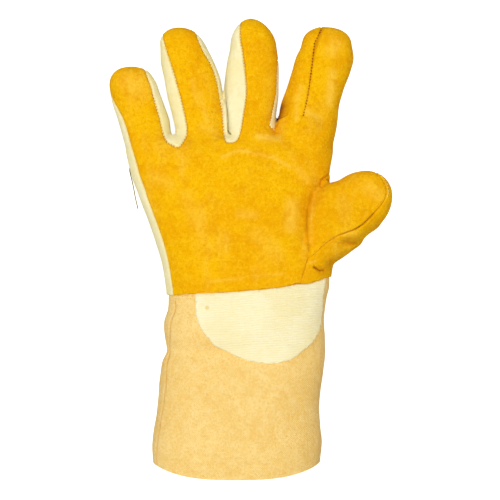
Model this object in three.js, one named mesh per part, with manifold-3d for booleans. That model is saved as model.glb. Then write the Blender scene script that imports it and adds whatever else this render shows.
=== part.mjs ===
// Foundry glove for the right hand: leather palm, thumb and index finger, cream cloth back and
// finger sides, tan gauntlet cuff with a cream patch below the palm. It lies on its back.
// Millimetres, +X to the thumb, +Y to the fingertips, +Z up, z = 0 is the surface it lies on.
import * as THREE from "three";
import { mergeVertices } from "three/addons/utils/BufferGeometryUtils.js";
import Module from "manifold-3d";

const wasm = await Module();
wasm.setup();

// Driving dimensions
const WALL = 2.4; // leather and cloth walls
const GAP = 0.3; // between sewn panels
const PATCH_WALL = 1.2; // the patch that lies on the cuff
const FLATTENED = 5; // how far the round underside is pressed flat where it lies
const HEM_BOW = 10; // the middle of the cuff's edge is longer than its sides
const HEM_BOW_REACH = 60; // how far up the cuff the bow fades out
const OUTLINE_CENTRE = { x: -0.7, y: 2.5 }; // middle of the outline, moved to the origin
const TRUNK_SIDES = { outside: 32, inside: 24 }; // facets round the hand and cuff
const FINGER_SIDES = { outside: 16, inside: 12 };
const DOME_RINGS = 4; // rings of a rounded fingertip
const DOME_END = 0.96; // the last of them, as a share of the quarter turn to the very tip
const SQUARENESS = 2.5; // exponent of the rounded cross-sections, 2 is an ellipse
const THINNEST = 0.3; // least half width of a section
const SHARPEST = 0.5; // cosine that limits how far a grown outline runs out at a corner
const SAME_POINT = 1e-4; // vertices closer than this are one
const ABOVE_ALL = 120; // higher than anything on the glove
const BELOW_ALL = -20;
const FAR = { left: -140, right: 140, up: 210, down: -210 }; // beyond the glove in plan
const LEAN = 0.9; // of a leaning cut, across for each unit down

// Heights of the seams at the sides of the glove
const BACK_SEAM = 9; // palm leather and finger sides down to the back cloth
const CUFF_SEAM = 22; // cuff front to cuff back on the thumb side
const THUMB_SEAM = 10; // thumb base to the back cloth
const PATCH_LOWEST = 28; // the patch stays on the upper side of the cuff
const THUMB_FAR_SEAM = { atBase: 20, atTip: 34, baseX: 50, tipX: 100 }; // thumb front to thumb back

// Rows of a table become objects with the named columns
function table(columns, rows) {
  return rows.map((row) => Object.fromEntries(columns.map((name, i) => [name, row[i]])));
}

// Hand and cuff: left and right edge, height of the widest place, height of the top
const TRUNK = table(
  ["y", "left", "right", "mid", "top"],
  [
    [-160, -74, 53, 26, 58],
    [-148, -74.8, 54.3, 26, 58],
    [-132, -72.5, 52.8, 26, 57],
    [-117, -70.2, 52, 25.5, 56],
    [-103, -69.3, 53, 25, 54.5],
    [-91, -67.8, 55.3, 25, 52.5],
    [-84, -66.8, 56.4, 24.5, 51],
    [-77.5, -63.6, 57, 24, 49.5],
    [-66, -64.8, 56.6, 24, 50],
    [-53, -65.4, 55.6, 23.5, 49.5],
    [-45, -62.8, 56.6, 23, 48],
    [-36, -63.7, 58, 23, 47.5],
    [-24, -65.2, 59.8, 23, 48.5],
    [-8, -68.5, 60.8, 23, 47.5],
    [8, -73, 60, 23, 47],
    [24, -78, 59, 23, 46.5],
    [40, -84.8, 58.5, 23, 46],
    [54, -90, 59, 22.5, 45],
    [67, -93.2, 60.5, 21.5, 43],
    [79, -95, 62, 19.5, 39.5],
    [87, -94, 60, 17.5, 34],
    [91, -88, 54, 16, 27],
  ],
);

// Fingers: centre in plan, half width across, height of the widest place, height above and below
// it. heading is the direction that the finger points to, in degrees from +Y towards +X, tip the
// end of its rounded tip beyond the last row, and tipShape the exponent of that tip's outline.
const LIMB_COLUMNS = ["x", "y", "half", "mid", "up", "down"];
const LIMBS = {
  little: {
    heading: 0,
    tip: [-91, 138],
    tipShape: 2.3,
    rows: table(LIMB_COLUMNS, [
      [-65, 38, 11, 22, 12, 11],
      [-74, 69, 18.6, 18, 19, 19],
      [-79, 89, 20.1, 15.5, 16.5, 18],
      [-82, 100, 20.3, 14.5, 14.5, 17],
      [-86.3, 112, 19.8, 14.5, 14, 16],
      [-89.3, 123.5, 18.2, 15, 13.5, 15],
    ]),
  },
  ring: {
    heading: 0,
    tip: [-54.5, 168.3],
    tipShape: 2.3,
    rows: table(LIMB_COLUMNS, [
      [-32, 40, 12, 22, 12, 11],
      [-36, 79, 20, 17, 19.5, 19],
      [-39, 97, 20.6, 15.5, 16.5, 18],
      [-42.6, 117, 20.9, 14.5, 14.5, 17],
      [-44.5, 129.5, 21.2, 14.5, 14, 16],
      [-47.9, 142, 20.1, 15, 13.5, 15.5],
      [-50.9, 154, 17.2, 15.5, 13, 15],
    ]),
  },
  middle: {
    heading: 0,
    tip: [0.2, 175],
    tipShape: 2.1,
    rows: table(LIMB_COLUMNS, [
      [-0.5, 40, 12, 22, 12, 11],
      [0.8, 82, 19.6, 17, 20, 19],
      [0.8, 98, 19.5, 15.5, 17, 18],
      [0.4, 118, 20.5, 14.5, 14.8, 17],
      [0.8, 130, 20.1, 14.5, 14.2, 16],
      [1.5, 142, 19.4, 15, 13.8, 15.5],
      [2.2, 154, 17.9, 15.5, 13.2, 15],
    ]),
  },
  index: {
    heading: 0,
    tip: [57.6, 168.9],
    tipShape: 2.3,
    rows: table(LIMB_COLUMNS, [
      [34, 38, 12, 22, 12, 11],
      [40, 79, 21.6, 17.5, 19.5, 19],
      [42.6, 97, 22.7, 16, 17, 18.5],
      [45.3, 111, 22.6, 15, 15, 17.5],
      [49.3, 122.5, 21.9, 15, 14.6, 17],
      [53.2, 136, 22.2, 15.5, 14.4, 16.5],
      [57, 147.5, 21.8, 16, 14, 16],
      [58.1, 154.5, 19.6, 16.5, 13.4, 15.5],
    ]),
  },
  thumb: {
    heading: 53.8,
    tip: [102.6, 51.5],
    tipShape: 2,
    rows: table(LIMB_COLUMNS, [
      [25, -8, 17, 21, 13, 12],
      [44.2, 6.4, 24, 24, 19, 17],
      [61.5, 21, 25.7, 28, 18, 17],
      [70.6, 28, 25, 30.5, 17, 17],
      [80.3, 34, 22.4, 33, 16, 16],
    ]),
  },
};

// Folds and grooves pressed into the upper side along a line in plan
const FOLDS = table(
  ["x0", "y0", "x1", "y1", "width", "depth"],
  [
    [-21, 70, -12, 74, 6, 1],
    [-12, 74, 10, 72.5, 6, 1.4],
    [10, 72.5, 31, 61, 6, 1.2],
    [46, 44, 42.5, 30, 7, 4],
    [42.5, 30, 43.5, 4, 7, 4],
    [66, 6, 84, 10, 6, 3],
    [-60, -79, -20, -77, 6, 2.2],
    [-60, -45, -48, -46, 5, 2],
    [44, -9, 55, -17, 5, 1.5],
  ],
);

// Panel outlines in plan: x, y, and where the cut leans the height that they are meant at
const WRIST_LINE = [
  [-90, -36], [-57, -34.5], [-17.5, -32], [7, -30], [25.5, -28], [35.5, -25.5],
  [42.5, -26], [49.5, -24], [56.5, -21.5], [80, -18],
];
const LITTLE_EDGE = [
  [-57.5, -40, 36], [-58, -30, 36], [-61, -8.5, 35], [-65, 7, 35], [-70.5, 22.5, 34],
  [-79.5, 44, 35], [-87, 67, 33], [-93.5, 90, 28], [-97.5, 100.5, 25], [-103.5, 113.5, 20],
  [-112, 126, 16],
];
const LITTLE_RING_GAP = [
  [-83, 143], [-75, 123.5], [-73.5, 116], [-68.5, 99], [-64.5, 82.5], [-59.5, 78.5],
  [-53, 76], [-48, 86], [-48, 93.5], [-52.5, 113.5], [-59.5, 138], [-65.5, 154.5], [-68.5, 170],
  [-83, 170],
];
const RING_MIDDLE_GAP = [
  [-42.5, 180], [-42.5, 167], [-36, 150.5], [-29.5, 140], [-25.5, 125.5], [-23.5, 113],
  [-20.5, 88.5], [-19, 81], [-14.5, 80], [-8.5, 82.5], [-5, 104], [-3, 115.5], [-3, 127],
  [-6, 150], [-7.5, 159], [-6.5, 180],
];
const MIDDLE_EDGE = [
  [21.5, 180], [21.5, 158], [20, 127], [19, 118.5], [16, 101], [14, 93.5], [20, 90.5],
];
const INDEX_EDGE = [
  [20, 90.5], [34, 92], [39, 100], [42.5, 115.5], [45.5, 137.5], [47.5, 156], [52, 166.5],
  [54, 180],
];
const MIDDLE_INDEX_DIVIDE = [
  [22.5, 105.5], [27, 143], [33, 184],
];
const INDEX_BACK = [
  [24, 93], [72, 93], [140, 140], [140, 210], [33, 210], [27, 143],
];
const PALM_CORNER = [43, -7]; // where palm, thumb front and thumb back meet
const THUMB_BASE_EDGE = [
  [68, 90], [66, 61], [57, 55], [52, 50], [47, 42.5], [44.5, 37.5], [42.5, 28.5], [41.5, 20],
  [43, 11.5], [43.5, 3], PALM_CORNER, [40.5, -15], [38.5, -21.5], [36, -30],
];
const THUMB_FRONT_EDGE = [
  [101, 80], [100, 42], [99, 36.5], [96.5, 32.5], [87.5, 23], [84, 19], [78, 15],
  [66.5, 11], [57, 5.5], [47, -4.5], PALM_CORNER,
];
const CUFF_SIDE_SEAM = [
  [-57.3, -34.6, 36], [-57, -45, 37], [-60.5, -60, 37], [-61, -75.5, 34], [-63, -103.5, 40],
  [-65, -117, 40], [-68.5, -138, 40], [-70.5, -185, 40],
];
const PATCH_EDGE = [
  [54, -38], [53, -53], [50.5, -64], [43, -73], [33, -80.5], [20, -85.5], [4, -84.5],
  [-12, -79.5], [-29, -70], [-38, -58], [-41, -46], [-41, -33],
];

// Colours, roughness and metalness
const LEATHER = new THREE.MeshStandardMaterial({ color: 0xf2b40f, roughness: 0.95, metalness: 0 });
const CREAM_CLOTH = new THREE.MeshStandardMaterial({ color: 0xf6efc6, roughness: 0.9, metalness: 0 });
const CUFF_CLOTH = new THREE.MeshStandardMaterial({ color: 0xf3cf86, roughness: 0.95, metalness: 0 });

// A three.js geometry as a solid that can be joined and cut
function solidOf(geometry) {
  geometry.deleteAttribute("normal");
  geometry.deleteAttribute("uv");
  const merged = mergeVertices(geometry, SAME_POINT);
  return new wasm.Manifold(
    new wasm.Mesh({
      numProp: 3,
      vertProperties: merged.attributes.position.array,
      triVerts: new Uint32Array(merged.index.array),
    }),
  );
}

function geometryOf(solid) {
  const mesh = solid.getMesh();
  const geometry = new THREE.BufferGeometry();
  geometry.setAttribute("position", new THREE.BufferAttribute(mesh.vertProperties, 3));
  geometry.setIndex(new THREE.BufferAttribute(mesh.triVerts, 1));
  geometry.computeVertexNormals();
  return geometry;
}

// How far the upper surface is pressed in at a place in plan
function foldDepth(x, y) {
  let depth = 0;
  for (const fold of FOLDS) {
    const dx = fold.x1 - fold.x0;
    const dy = fold.y1 - fold.y0;
    const along = ((x - fold.x0) * dx + (y - fold.y0) * dy) / (dx * dx + dy * dy);
    const t = Math.min(1, Math.max(0, along));
    const away = Math.hypot(x - fold.x0 - t * dx, y - fold.y0 - t * dy) / fold.width;
    depth = Math.max(depth, fold.depth * Math.exp(-away * away));
  }
  return depth;
}

// One rounded cross-section. across is the unit direction of its width in plan.
function sectionRing(section, across, sides, inset) {
  const floor = inset;
  const half = Math.max(section.half - inset, THINNEST);
  const up = Math.max(section.up - inset, THINNEST);
  const down = Math.max(section.down - inset, THINNEST);
  const ring = [];
  for (let i = 0; i < sides; i++) {
    const angle = (2 * Math.PI * i) / sides;
    const c = Math.cos(angle);
    const s = Math.sin(angle);
    const u = Math.sign(c) * Math.abs(c) ** (2 / SQUARENESS);
    const w = Math.sign(s) * Math.abs(s) ** (2 / SQUARENESS);
    const x = section.x + across.x * half * u;
    const bow = (section.bow ?? 0) * (1 - Math.abs(u) ** 3);
    const y = section.y + across.y * half * u - bow;
    let z = section.mid + w * (w > 0 ? up : down);
    if (w > 0) z -= foldDepth(x, y) * w;
    ring.push(new THREE.Vector3(x, y, Math.max(z, floor)));
  }
  return ring;
}

// A closed body through rings, from the first to the last, with a point or flat end at each end
function loft(rings) {
  const sides = rings[0].length;
  const positions = rings.flat().flatMap((p) => [p.x, p.y, p.z]);
  const index = [];
  for (let r = 0; r + 1 < rings.length; r++) {
    for (let i = 0; i < sides; i++) {
      const j = (i + 1) % sides;
      const a = r * sides + i;
      const b = r * sides + j;
      const c = a + sides;
      const d = b + sides;
      index.push(a, c, b, b, c, d);
    }
  }
  const ends = [
    { ring: rings[0], base: 0, turn: false },
    { ring: rings.at(-1), base: (rings.length - 1) * sides, turn: true },
  ];
  for (const end of ends) {
    const centre = new THREE.Vector3();
    for (const p of end.ring) centre.addScaledVector(p, 1 / sides);
    const apex = positions.length / 3;
    positions.push(centre.x, centre.y, centre.z);
    for (let i = 0; i < sides; i++) {
      const a = end.base + i;
      const b = end.base + ((i + 1) % sides);
      index.push(...(end.turn ? [a, apex, b] : [a, b, apex]));
    }
  }
  const geometry = new THREE.BufferGeometry();
  geometry.setAttribute("position", new THREE.Float32BufferAttribute(positions, 3));
  geometry.setIndex(index);
  return solidOf(geometry);
}

// The hand and cuff. The hollow runs out past the hem, so the cuff is open.
function trunk(inset) {
  const hemY = TRUNK[0].y;
  const sections = TRUNK.map((row) => ({
    x: (row.left + row.right) / 2,
    y: row.y,
    half: (row.right - row.left) / 2,
    mid: row.mid,
    up: row.top - row.mid,
    down: row.mid + FLATTENED,
    bow: HEM_BOW * Math.max(0, 1 - (row.y - hemY) / HEM_BOW_REACH),
  }));
  const last = sections.at(-1);
  last.y -= inset;
  if (inset > 0) sections.unshift({ ...sections[0], y: hemY - 2 * HEM_BOW });
  const across = new THREE.Vector2(1, 0);
  const sides = inset > 0 ? TRUNK_SIDES.inside : TRUNK_SIDES.outside;
  return loft(sections.map((section) => sectionRing(section, across, sides, inset)));
}

// A finger: its rows, then the rings of the rounded tip
function limb(name, inset) {
  const { heading, tip, tipShape, rows } = LIMBS[name];
  const angle = THREE.MathUtils.degToRad(heading);
  const across = new THREE.Vector2(Math.cos(angle), -Math.sin(angle));
  const last = rows.at(-1);
  const before = rows.at(-2);
  const toTip = new THREE.Vector2(tip[0] - last.x, tip[1] - last.y);
  const rise = (last.mid - before.mid) / Math.hypot(last.x - before.x, last.y - before.y);
  const domeLength = toTip.length() - inset;
  toTip.normalize();
  const sections = [...rows];
  for (let i = 1; i <= DOME_RINGS; i++) {
    const t = Math.sin((i / DOME_RINGS) * (Math.PI / 2) * DOME_END);
    const scale = (1 - t ** tipShape) ** (1 / tipShape);
    const reach = domeLength * t;
    sections.push({
      x: last.x + toTip.x * reach,
      y: last.y + toTip.y * reach,
      half: (last.half - inset) * scale + inset,
      mid: last.mid + rise * reach,
      up: (last.up - inset) * scale + inset,
      down: (last.down - inset) * scale + inset,
    });
  }
  const sides = inset > 0 ? FINGER_SIDES.inside : FINGER_SIDES.outside;
  return loft(sections.map((section) => sectionRing(section, across, sides, inset)));
}

function gloveForm(inset) {
  return Object.keys(LIMBS).reduce((form, name) => form.add(limb(name, inset)), trunk(inset));
}

// Grows a closed outline outwards by a distance
function grown(outline, distance) {
  const area = THREE.ShapeUtils.area(outline.map(([x, y]) => new THREE.Vector2(x, y)));
  const out = area > 0 ? distance : -distance;
  return outline.map(([x, y, at], i) => {
    const [px, py] = outline.at(i - 1);
    const [nx, ny] = outline[(i + 1) % outline.length];
    const before = new THREE.Vector2(y - py, px - x).normalize();
    const after = new THREE.Vector2(ny - y, x - nx).normalize();
    const normal = before.clone().add(after).normalize();
    const reach = out / Math.max(normal.dot(before), SHARPEST);
    return [x + normal.x * reach, y + normal.y * reach, at];
  });
}

// A cutter over a plan outline. low is its lower height, or a height for each place in plan.
// Its sides are upright, but where an outline point has a third value, the side leans outwards
// and the outline is the place that it has at that height: on a steep wall that cuts cleanly.
function cutter(outline, low = BELOW_ALL, high = ABOVE_ALL) {
  const flat = outline.map(([x, y]) => new THREE.Vector2(x, y));
  const points = THREE.ShapeUtils.area(flat) > 0 ? outline : [...outline].reverse();
  const plan = points.map(([x, y]) => new THREE.Vector2(x, y));
  const count = points.length;
  const positions = [];
  for (const atTop of [false, true]) {
    for (const [x, y, at] of points) {
      const under = typeof low === "function" ? low(x, y) : low;
      const z = atTop ? high : under;
      positions.push(at === undefined ? x : x + LEAN * (at - z), y, z);
    }
  }
  const index = [];
  for (const [a, b, c] of THREE.ShapeUtils.triangulateShape(plan, [])) {
    index.push(a, c, b, a + count, b + count, c + count);
  }
  for (let i = 0; i < count; i++) {
    const j = (i + 1) % count;
    index.push(i, j, i + count, j, j + count, i + count);
  }
  const geometry = new THREE.BufferGeometry();
  geometry.setAttribute("position", new THREE.Float32BufferAttribute(positions, 3));
  geometry.setIndex(index);
  return solidOf(geometry);
}

// The largest body of a cut, without crumbs
function mainBody(solid) {
  return solid.decompose().reduce((a, b) => (a.volume() > b.volume() ? a : b));
}

// Cuts the panel inside an outline out of the remaining shell and leaves a seam gap round it
let rest = gloveForm(0).subtract(gloveForm(WALL));
function takePanel(outline, low = BELOW_ALL) {
  const lower = typeof low === "function" ? (x, y) => low(x, y) - GAP : low - GAP;
  const panel = mainBody(rest.intersect(cutter(outline, low)));
  rest = rest.subtract(cutter(grown(outline, GAP), lower));
  return panel;
}

// Cuff: everything below the wrist line
const wristFromThumbSide = [...WRIST_LINE].reverse();
const cuffFront = takePanel(
  [...CUFF_SIDE_SEAM, [FAR.right, FAR.down], [FAR.right, -12], ...wristFromThumbSide.slice(0, -2)],
  CUFF_SEAM,
);
const cuffBack = takePanel([
  ...WRIST_LINE, [FAR.right, -12], [FAR.right, FAR.down], [FAR.left, FAR.down], [FAR.left, -36],
]);

// Thumb: from the groove beside the palm outwards. Its front ends where the two edges meet.
const thumbFarSeam = (x) => {
  const { atBase, atTip, baseX, tipX } = THUMB_FAR_SEAM;
  return THREE.MathUtils.mapLinear(x, baseX, tipX, atBase, atTip);
};
const meeting = THUMB_BASE_EDGE.indexOf(PALM_CORNER);
const thumbFront = takePanel(
  [...THUMB_BASE_EDGE.slice(0, meeting + 1), ...[...THUMB_FRONT_EDGE].reverse().slice(1)],
  thumbFarSeam,
);
const thumbBack = takePanel([...THUMB_BASE_EDGE, [FAR.right, -30], [FAR.right, 90]], THUMB_SEAM);

// Finger sides: the strips that show in the gaps between the fingers
const littleRingSide = takePanel(LITTLE_RING_GAP, BACK_SEAM);
const ringMiddleSide = takePanel(RING_MIDDLE_GAP, BACK_SEAM);
const middleSide = takePanel([...MIDDLE_EDGE, ...MIDDLE_INDEX_DIVIDE], BACK_SEAM);
const indexSide = takePanel([...INDEX_EDGE, ...[...MIDDLE_INDEX_DIVIDE].reverse()], BACK_SEAM);

// Palm leather, then the back of the index finger, and what remains is the back cloth
const palmLeather = takePanel(
  [...LITTLE_EDGE, [-112, FAR.up], [FAR.right, FAR.up], [FAR.right, -40]],
  BACK_SEAM,
);
const indexBack = takePanel(INDEX_BACK);
const backCloth = mainBody(rest);

// The patch follows the cuff a little above it, from the wrist line down
const patchTop = WRIST_LINE.slice(2, 9).map(([x, y]) => [x, y - GAP]);
const patchLayer = gloveForm(-GAP - PATCH_WALL).subtract(gloveForm(-GAP));
const patch = mainBody(patchLayer.intersect(cutter([...patchTop, ...PATCH_EDGE], PATCH_LOWEST)));

const glove = new THREE.Group();
function addPiece(name, solid, material) {
  const mesh = new THREE.Mesh(geometryOf(solid), material.clone());
  mesh.name = name;
  glove.add(mesh);
}
addPiece("palm_leather", palmLeather, LEATHER);
addPiece("index_side", indexSide, LEATHER);
addPiece("index_back", indexBack, LEATHER);
addPiece("thumb_front", thumbFront, LEATHER);
addPiece("thumb_back", thumbBack, LEATHER);
addPiece("little_ring_side", littleRingSide, CREAM_CLOTH);
addPiece("ring_middle_side", ringMiddleSide, CREAM_CLOTH);
addPiece("middle_side", middleSide, CREAM_CLOTH);
addPiece("back_cloth", backCloth, CREAM_CLOTH);
addPiece("cuff_front", cuffFront, CUFF_CLOTH);
addPiece("cuff_back", cuffBack, CUFF_CLOTH);
addPiece("wrist_patch", patch, CREAM_CLOTH);
glove.position.set(-OUTLINE_CENTRE.x, -OUTLINE_CENTRE.y, 0);

export default glove;
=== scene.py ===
import math

import bpy
import numpy as np
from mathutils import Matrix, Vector
from mathutils.bvhtree import BVHTree
from mathutils.kdtree import KDTree


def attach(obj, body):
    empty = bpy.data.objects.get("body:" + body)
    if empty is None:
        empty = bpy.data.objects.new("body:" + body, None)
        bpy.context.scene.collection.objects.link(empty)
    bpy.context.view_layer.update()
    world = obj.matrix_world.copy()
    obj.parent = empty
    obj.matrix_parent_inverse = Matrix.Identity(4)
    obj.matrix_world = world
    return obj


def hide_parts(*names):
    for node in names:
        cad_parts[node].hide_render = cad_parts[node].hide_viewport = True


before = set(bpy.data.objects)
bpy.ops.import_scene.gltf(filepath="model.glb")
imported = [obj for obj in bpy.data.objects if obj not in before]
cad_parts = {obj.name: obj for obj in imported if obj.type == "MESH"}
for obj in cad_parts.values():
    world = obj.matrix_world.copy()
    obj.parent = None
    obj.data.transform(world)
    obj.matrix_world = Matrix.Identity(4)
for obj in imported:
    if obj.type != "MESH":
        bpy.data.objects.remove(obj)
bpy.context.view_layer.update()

# Driving dimensions, in millimetres
FRAME_SHIFT = np.array([0.7, -2.5, 0.0])  # from the tables' origin to the middle of the outline
MM = 0.001
WALL = 2.0  # leather and cloth walls
SEAM_GAP = 0.04  # each panel stays this far back from its seam
SEAM_DEPTH = 0.85  # how far a panel's edge rolls down into its seam
SEAM_ROLL = 2.2  # and how wide that rolled edge is
SEAM_TINT_REACH = 1.6  # the leather and cloth are darker this near a seam
STITCH_PITCH = 2.3
STITCH_APART = 0.75  # share of the pitch that two seams' stitches keep from each other
HEM_MARGIN = 1.5  # an edge this near the hem isn't a seam
HEM_CLEAR = 2.0  # and no stitch draws the edge in this near it
SCALLOP = 0.62  # how far a seam between leather and cloth waves to each side
SCALLOP_EVEN = 0.65  # the share of that wave that is there all along
FINE_REACH = 2.2  # the mesh is twice as fine this near a seam
PUCKER = 0.2  # how far each stitch draws the seam in
PUCKER_REACH = 0.8
PUCKER_EVEN = 0.25  # between two stitches the edge stands out by this share of it
EDGE_REACH = 2.4  # the seams shape a panel this far in
SIDE_FALL = (26.0, 0.06)  # the cuff slopes down to the right from here, and how much
FLATTENED = 5.0  # how far the round underside is pressed flat
HEM_BOW = 10.0
HEM_BOW_REACH = 60.0
HEM_SPARE = 8.0  # the form runs on past the hem before it is trimmed
SQUARENESS = 2.5  # 2 is a round cross-section
LEAN = 0.9  # a leaning edge moves across this much for each millimetre of height
LEAN_SIDE = (-40, -20)  # it leans fully left of the first place, and not right of the second
VOXEL = 1.28
RING_STEP = 1.5  # between the rings of a body
TRUNK_SIDES = 240
LIMB_SIDES = 96
TIP_RINGS = 26
SETTLE_REACH = 0.15 * VOXEL  # points this near a seam move onto it
ON_SEAM = 0.05  # and count as lying on it from here
PATCH_WALL = 1.1
PATCH_RISE = 0.15  # clear of the cuff under it
PATCH_LOWEST = 28.0
PATCH_ROWS = (-92.0, -18.0)  # along the glove
PATCH_SPAN = (-60.0, 84.0)  # round the cuff, from the glove's own middle line
PATCH_STEP = (0.8, 0.36)  # round the cuff, and along the glove
PATCH_ROUND = 1200  # points of the curve that the patch's rows are measured on
PATCH_EDGE_FALL = (0.5, 0.9)  # how far its edge is rounded off, and how wide that is
RIB_PITCH = 1.8
RIB_HEIGHT = 0.11
RIB_SLANT = 0.06
WRIST_DIP = 1.5  # the cuff passes under the leather's edge
WRIST_DIP_REACH = 9.0
BACK_SEAM = 9.0
CUFF_SEAM = 22.0
THUMB_SEAM = 10.0

# Smooth noise: height, size of a wave, seed
SWELL_NOISE = [(0.5, 26, 1), (0.22, 9, 2)]
FRAY_NOISE = [(0.55, 1.3, 11), (0.6, 4.5, 12)]
TEAR_NOISE = [(0.9, 2.2, 13)]
RIB_NOISE = [(0.5, 14, 14), (0.12, 3, 15)]
PATCH_NOISE = [(0.18, 7, 16)]
SCALLOP_NOISE = [(0.35, 12, 21)]

# Where a shaping fades in: none of it at the first value, all of it at the second
FOLDS_FACE_UP = (0.1, 0.7)  # the upward part of the normal
CREASES_FACE_UP = (-0.1, 0.5)
SWELL_RISES = (1, 8)  # height
CUFF_BEGINS = (-30, -60)  # along the glove
CUFF_RISES = (24, 34)  # height
TEAR_ACROSS = (-5, 15)
TEAR_ALONG = (-60, -70)
FRAY_BEGINS = (0.5, 3)  # below the wrist line
SHADE_FACES_UP = (0, 0.4)
FAINT_REACH = (6, 3)  # away from a faint seam's line
POCKET_LEFT = (19, 21.5)
POCKET_RIGHT = (30, 23)
POCKET_EDGE = (-0.4, 0.5)  # past its lip
VALLEY_FOOT = (86, 92)
VALLEY_HEAD = (150, 125)

SMOOTHING = {"skin": 6, "swollen": 2, "creased": 2, "normals": 3, "patch": 6}  # how many times
CREASE_FINE = (3.4, 2.4)  # the mesh is made twice as fine this near a crease, once for each
CREASE_LOWEST = 8  # and only above this height
SHARP_ANGLE = 60

# Hand and cuff: y, left and right edge, height of the widest place, height of the top
TRUNK = np.array([
    [-160, -74, 53, 26, 58], [-148, -74.8, 54.3, 26, 58], [-132, -72.5, 52.8, 26, 57],
    [-117, -70.2, 52, 25.5, 56], [-103, -69.3, 53, 25, 54.5], [-91, -67.8, 55.3, 25, 52.5],
    [-84, -66.8, 56.4, 24.5, 51], [-77.5, -63.6, 57, 24, 49.5], [-66, -64.8, 56.6, 24, 50],
    [-53, -65.4, 55.6, 23.5, 49.5], [-45, -62.8, 56.6, 23, 48], [-36, -63.7, 58, 23, 47.5],
    [-24, -65.2, 61, 23, 48.5], [-8, -68, 62.4, 23, 47.5], [8, -73, 61, 23, 47],
    [24, -78, 59, 23, 46.5], [40, -84.8, 58.5, 23, 46], [54, -90, 59, 22.5, 45],
    [67, -93.6, 61.3, 21.5, 43], [77, -95.5, 62.8, 19.5, 39.5], [84.5, -94.5, 60.8, 17.5, 34],
    [88, -88, 54, 16, 27],
])

# Fingers: x, y, half width, height of the widest place, height above and below it
LIMBS = {
    "little": {"heading": 0, "tip": (-91.2, 139.8), "tip_shape": 2.2, "rows": [
        [-65, 38, 11, 22, 12, 11], [-74, 69, 18.6, 18, 19, 19], [-79.8, 89, 19.2, 15.5, 16.5, 18],
        [-82.3, 100, 20, 14.5, 14.5, 17], [-86.3, 112, 19.8, 14.5, 14, 16],
        [-89.4, 123.5, 18.8, 15, 13.5, 15]]},
    "ring": {"heading": 0, "tip": (-54.5, 170), "tip_shape": 2.05, "rows": [
        [-32, 40, 12, 22, 12, 11], [-35.6, 79, 19.6, 17, 19.5, 19], [-38.8, 97, 19.8, 15.5, 16.5, 18],
        [-42.3, 117, 21.2, 14.5, 14.5, 17], [-44.1, 129.5, 21.6, 14.5, 14, 16],
        [-47.8, 142, 20.8, 15, 13.5, 15.5], [-50.9, 154, 18, 15.5, 13, 15]]},
    "middle": {"heading": 0, "tip": (0.4, 176.8), "tip_shape": 1.85, "rows": [
        [-0.5, 40, 12, 22, 12, 11], [0.8, 82, 19.6, 17, 20, 19], [0.3, 98, 19, 15.5, 17, 18],
        [0.4, 118, 21, 14.5, 14.8, 17], [0.8, 130, 20.7, 14.5, 14.2, 16],
        [1.5, 142, 19.9, 15, 13.8, 15.5], [2.2, 154, 17.9, 15.5, 13.2, 15]]},
    "index": {"heading": 0, "tip": (57.4, 169.5), "tip_shape": 2.3, "rows": [
        [34, 38, 12, 22, 12, 11], [40.4, 79, 22, 17.5, 19.5, 19], [43.5, 97, 22.7, 16, 17, 18.5],
        [45.6, 111, 22.3, 15, 15, 17.5], [49.3, 122.5, 21.9, 15, 14.6, 17],
        [54.1, 136, 22.2, 15.5, 14.4, 16.5], [57, 147.5, 21.8, 16, 14, 16],
        [58.3, 154.5, 19.2, 16.5, 13.4, 15.5]]},
    "thumb": {"heading": 53.8, "tip": (102.6, 51.5), "tip_shape": 2.0, "rows": [
        [25, -8, 17, 21, 13, 12], [44.2, 6.4, 24, 24, 19, 17], [61.5, 21, 25.7, 28, 18, 17],
        [70.6, 28, 25, 30.5, 17, 17], [80.3, 34, 22.4, 33, 16, 16]]},
}

# The webs that close the gaps between the fingers, in the same form
WEBS = {
    "ring_middle": {"heading": 0, "tip": (-19.5, 115), "tip_shape": 2.0, "rows": [
        [-17, 60, 4, 16, 14, 14], [-17.4, 85, 4, 16, 13, 14], [-18, 100, 3.4, 15, 13.5, 13],
        [-18.8, 109, 2.8, 15, 13, 12]]},
    "middle_index": {"heading": 0, "tip": (18.9, 100), "tip_shape": 2.0, "rows": [
        [17.5, 60, 4, 15, 14, 14], [18, 80, 4, 15, 13, 14], [18.4, 88, 3.8, 15, 10, 13],
        [18.7, 94.5, 3.2, 14, 4.5, 12]]},
}

# The gaps between the fingers are opened for the remesh and closed again after it
FINGER_GAPS = [
    [(80, -59), (95, -59.2), (108, -61.5), (125, -66), (140, -70), (175, -76)],
    [(80, -16.8), (100, -17.6), (117, -20.3), (126, -22.3), (145, -27), (175, -31)],
    [(80, 18), (98, 19.8), (107, 21.4), (120, 24), (140, 28), (175, 33)],
]
GAP_OPENING = 2.6
GAP_REACH = 1.6
GAP_ROWS = (62, 84)  # the opening starts and is full at these places along the glove

# Broad folds pressed into the upper side: x0, y0, x1, y1, width, depth
FOLDS = [
    (-21, 66, -12, 70, 5, 0.8), (-12, 70, 10, 69, 5, 1.0), (10, 69, 31, 57, 5, 0.9),
    (52, 50, 46, 41, 4, 2.2), (46, 41, 42.5, 30, 5, 3.8), (42.5, 30, 43, 8, 5, 3.8),
    (88, 11.7, 84, 6.5, 3.5, 2.2), (84, 6.5, 79.5, 4, 4, 3.0), (79.5, 4, 71, 5, 3.6, 3.0),
    (-60, -79, -20, -77, 6, 1.8), (-60, -45, -48, -46, 5, 1.4), (48, -4, 58, -10, 4, -1.2),
]

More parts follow.
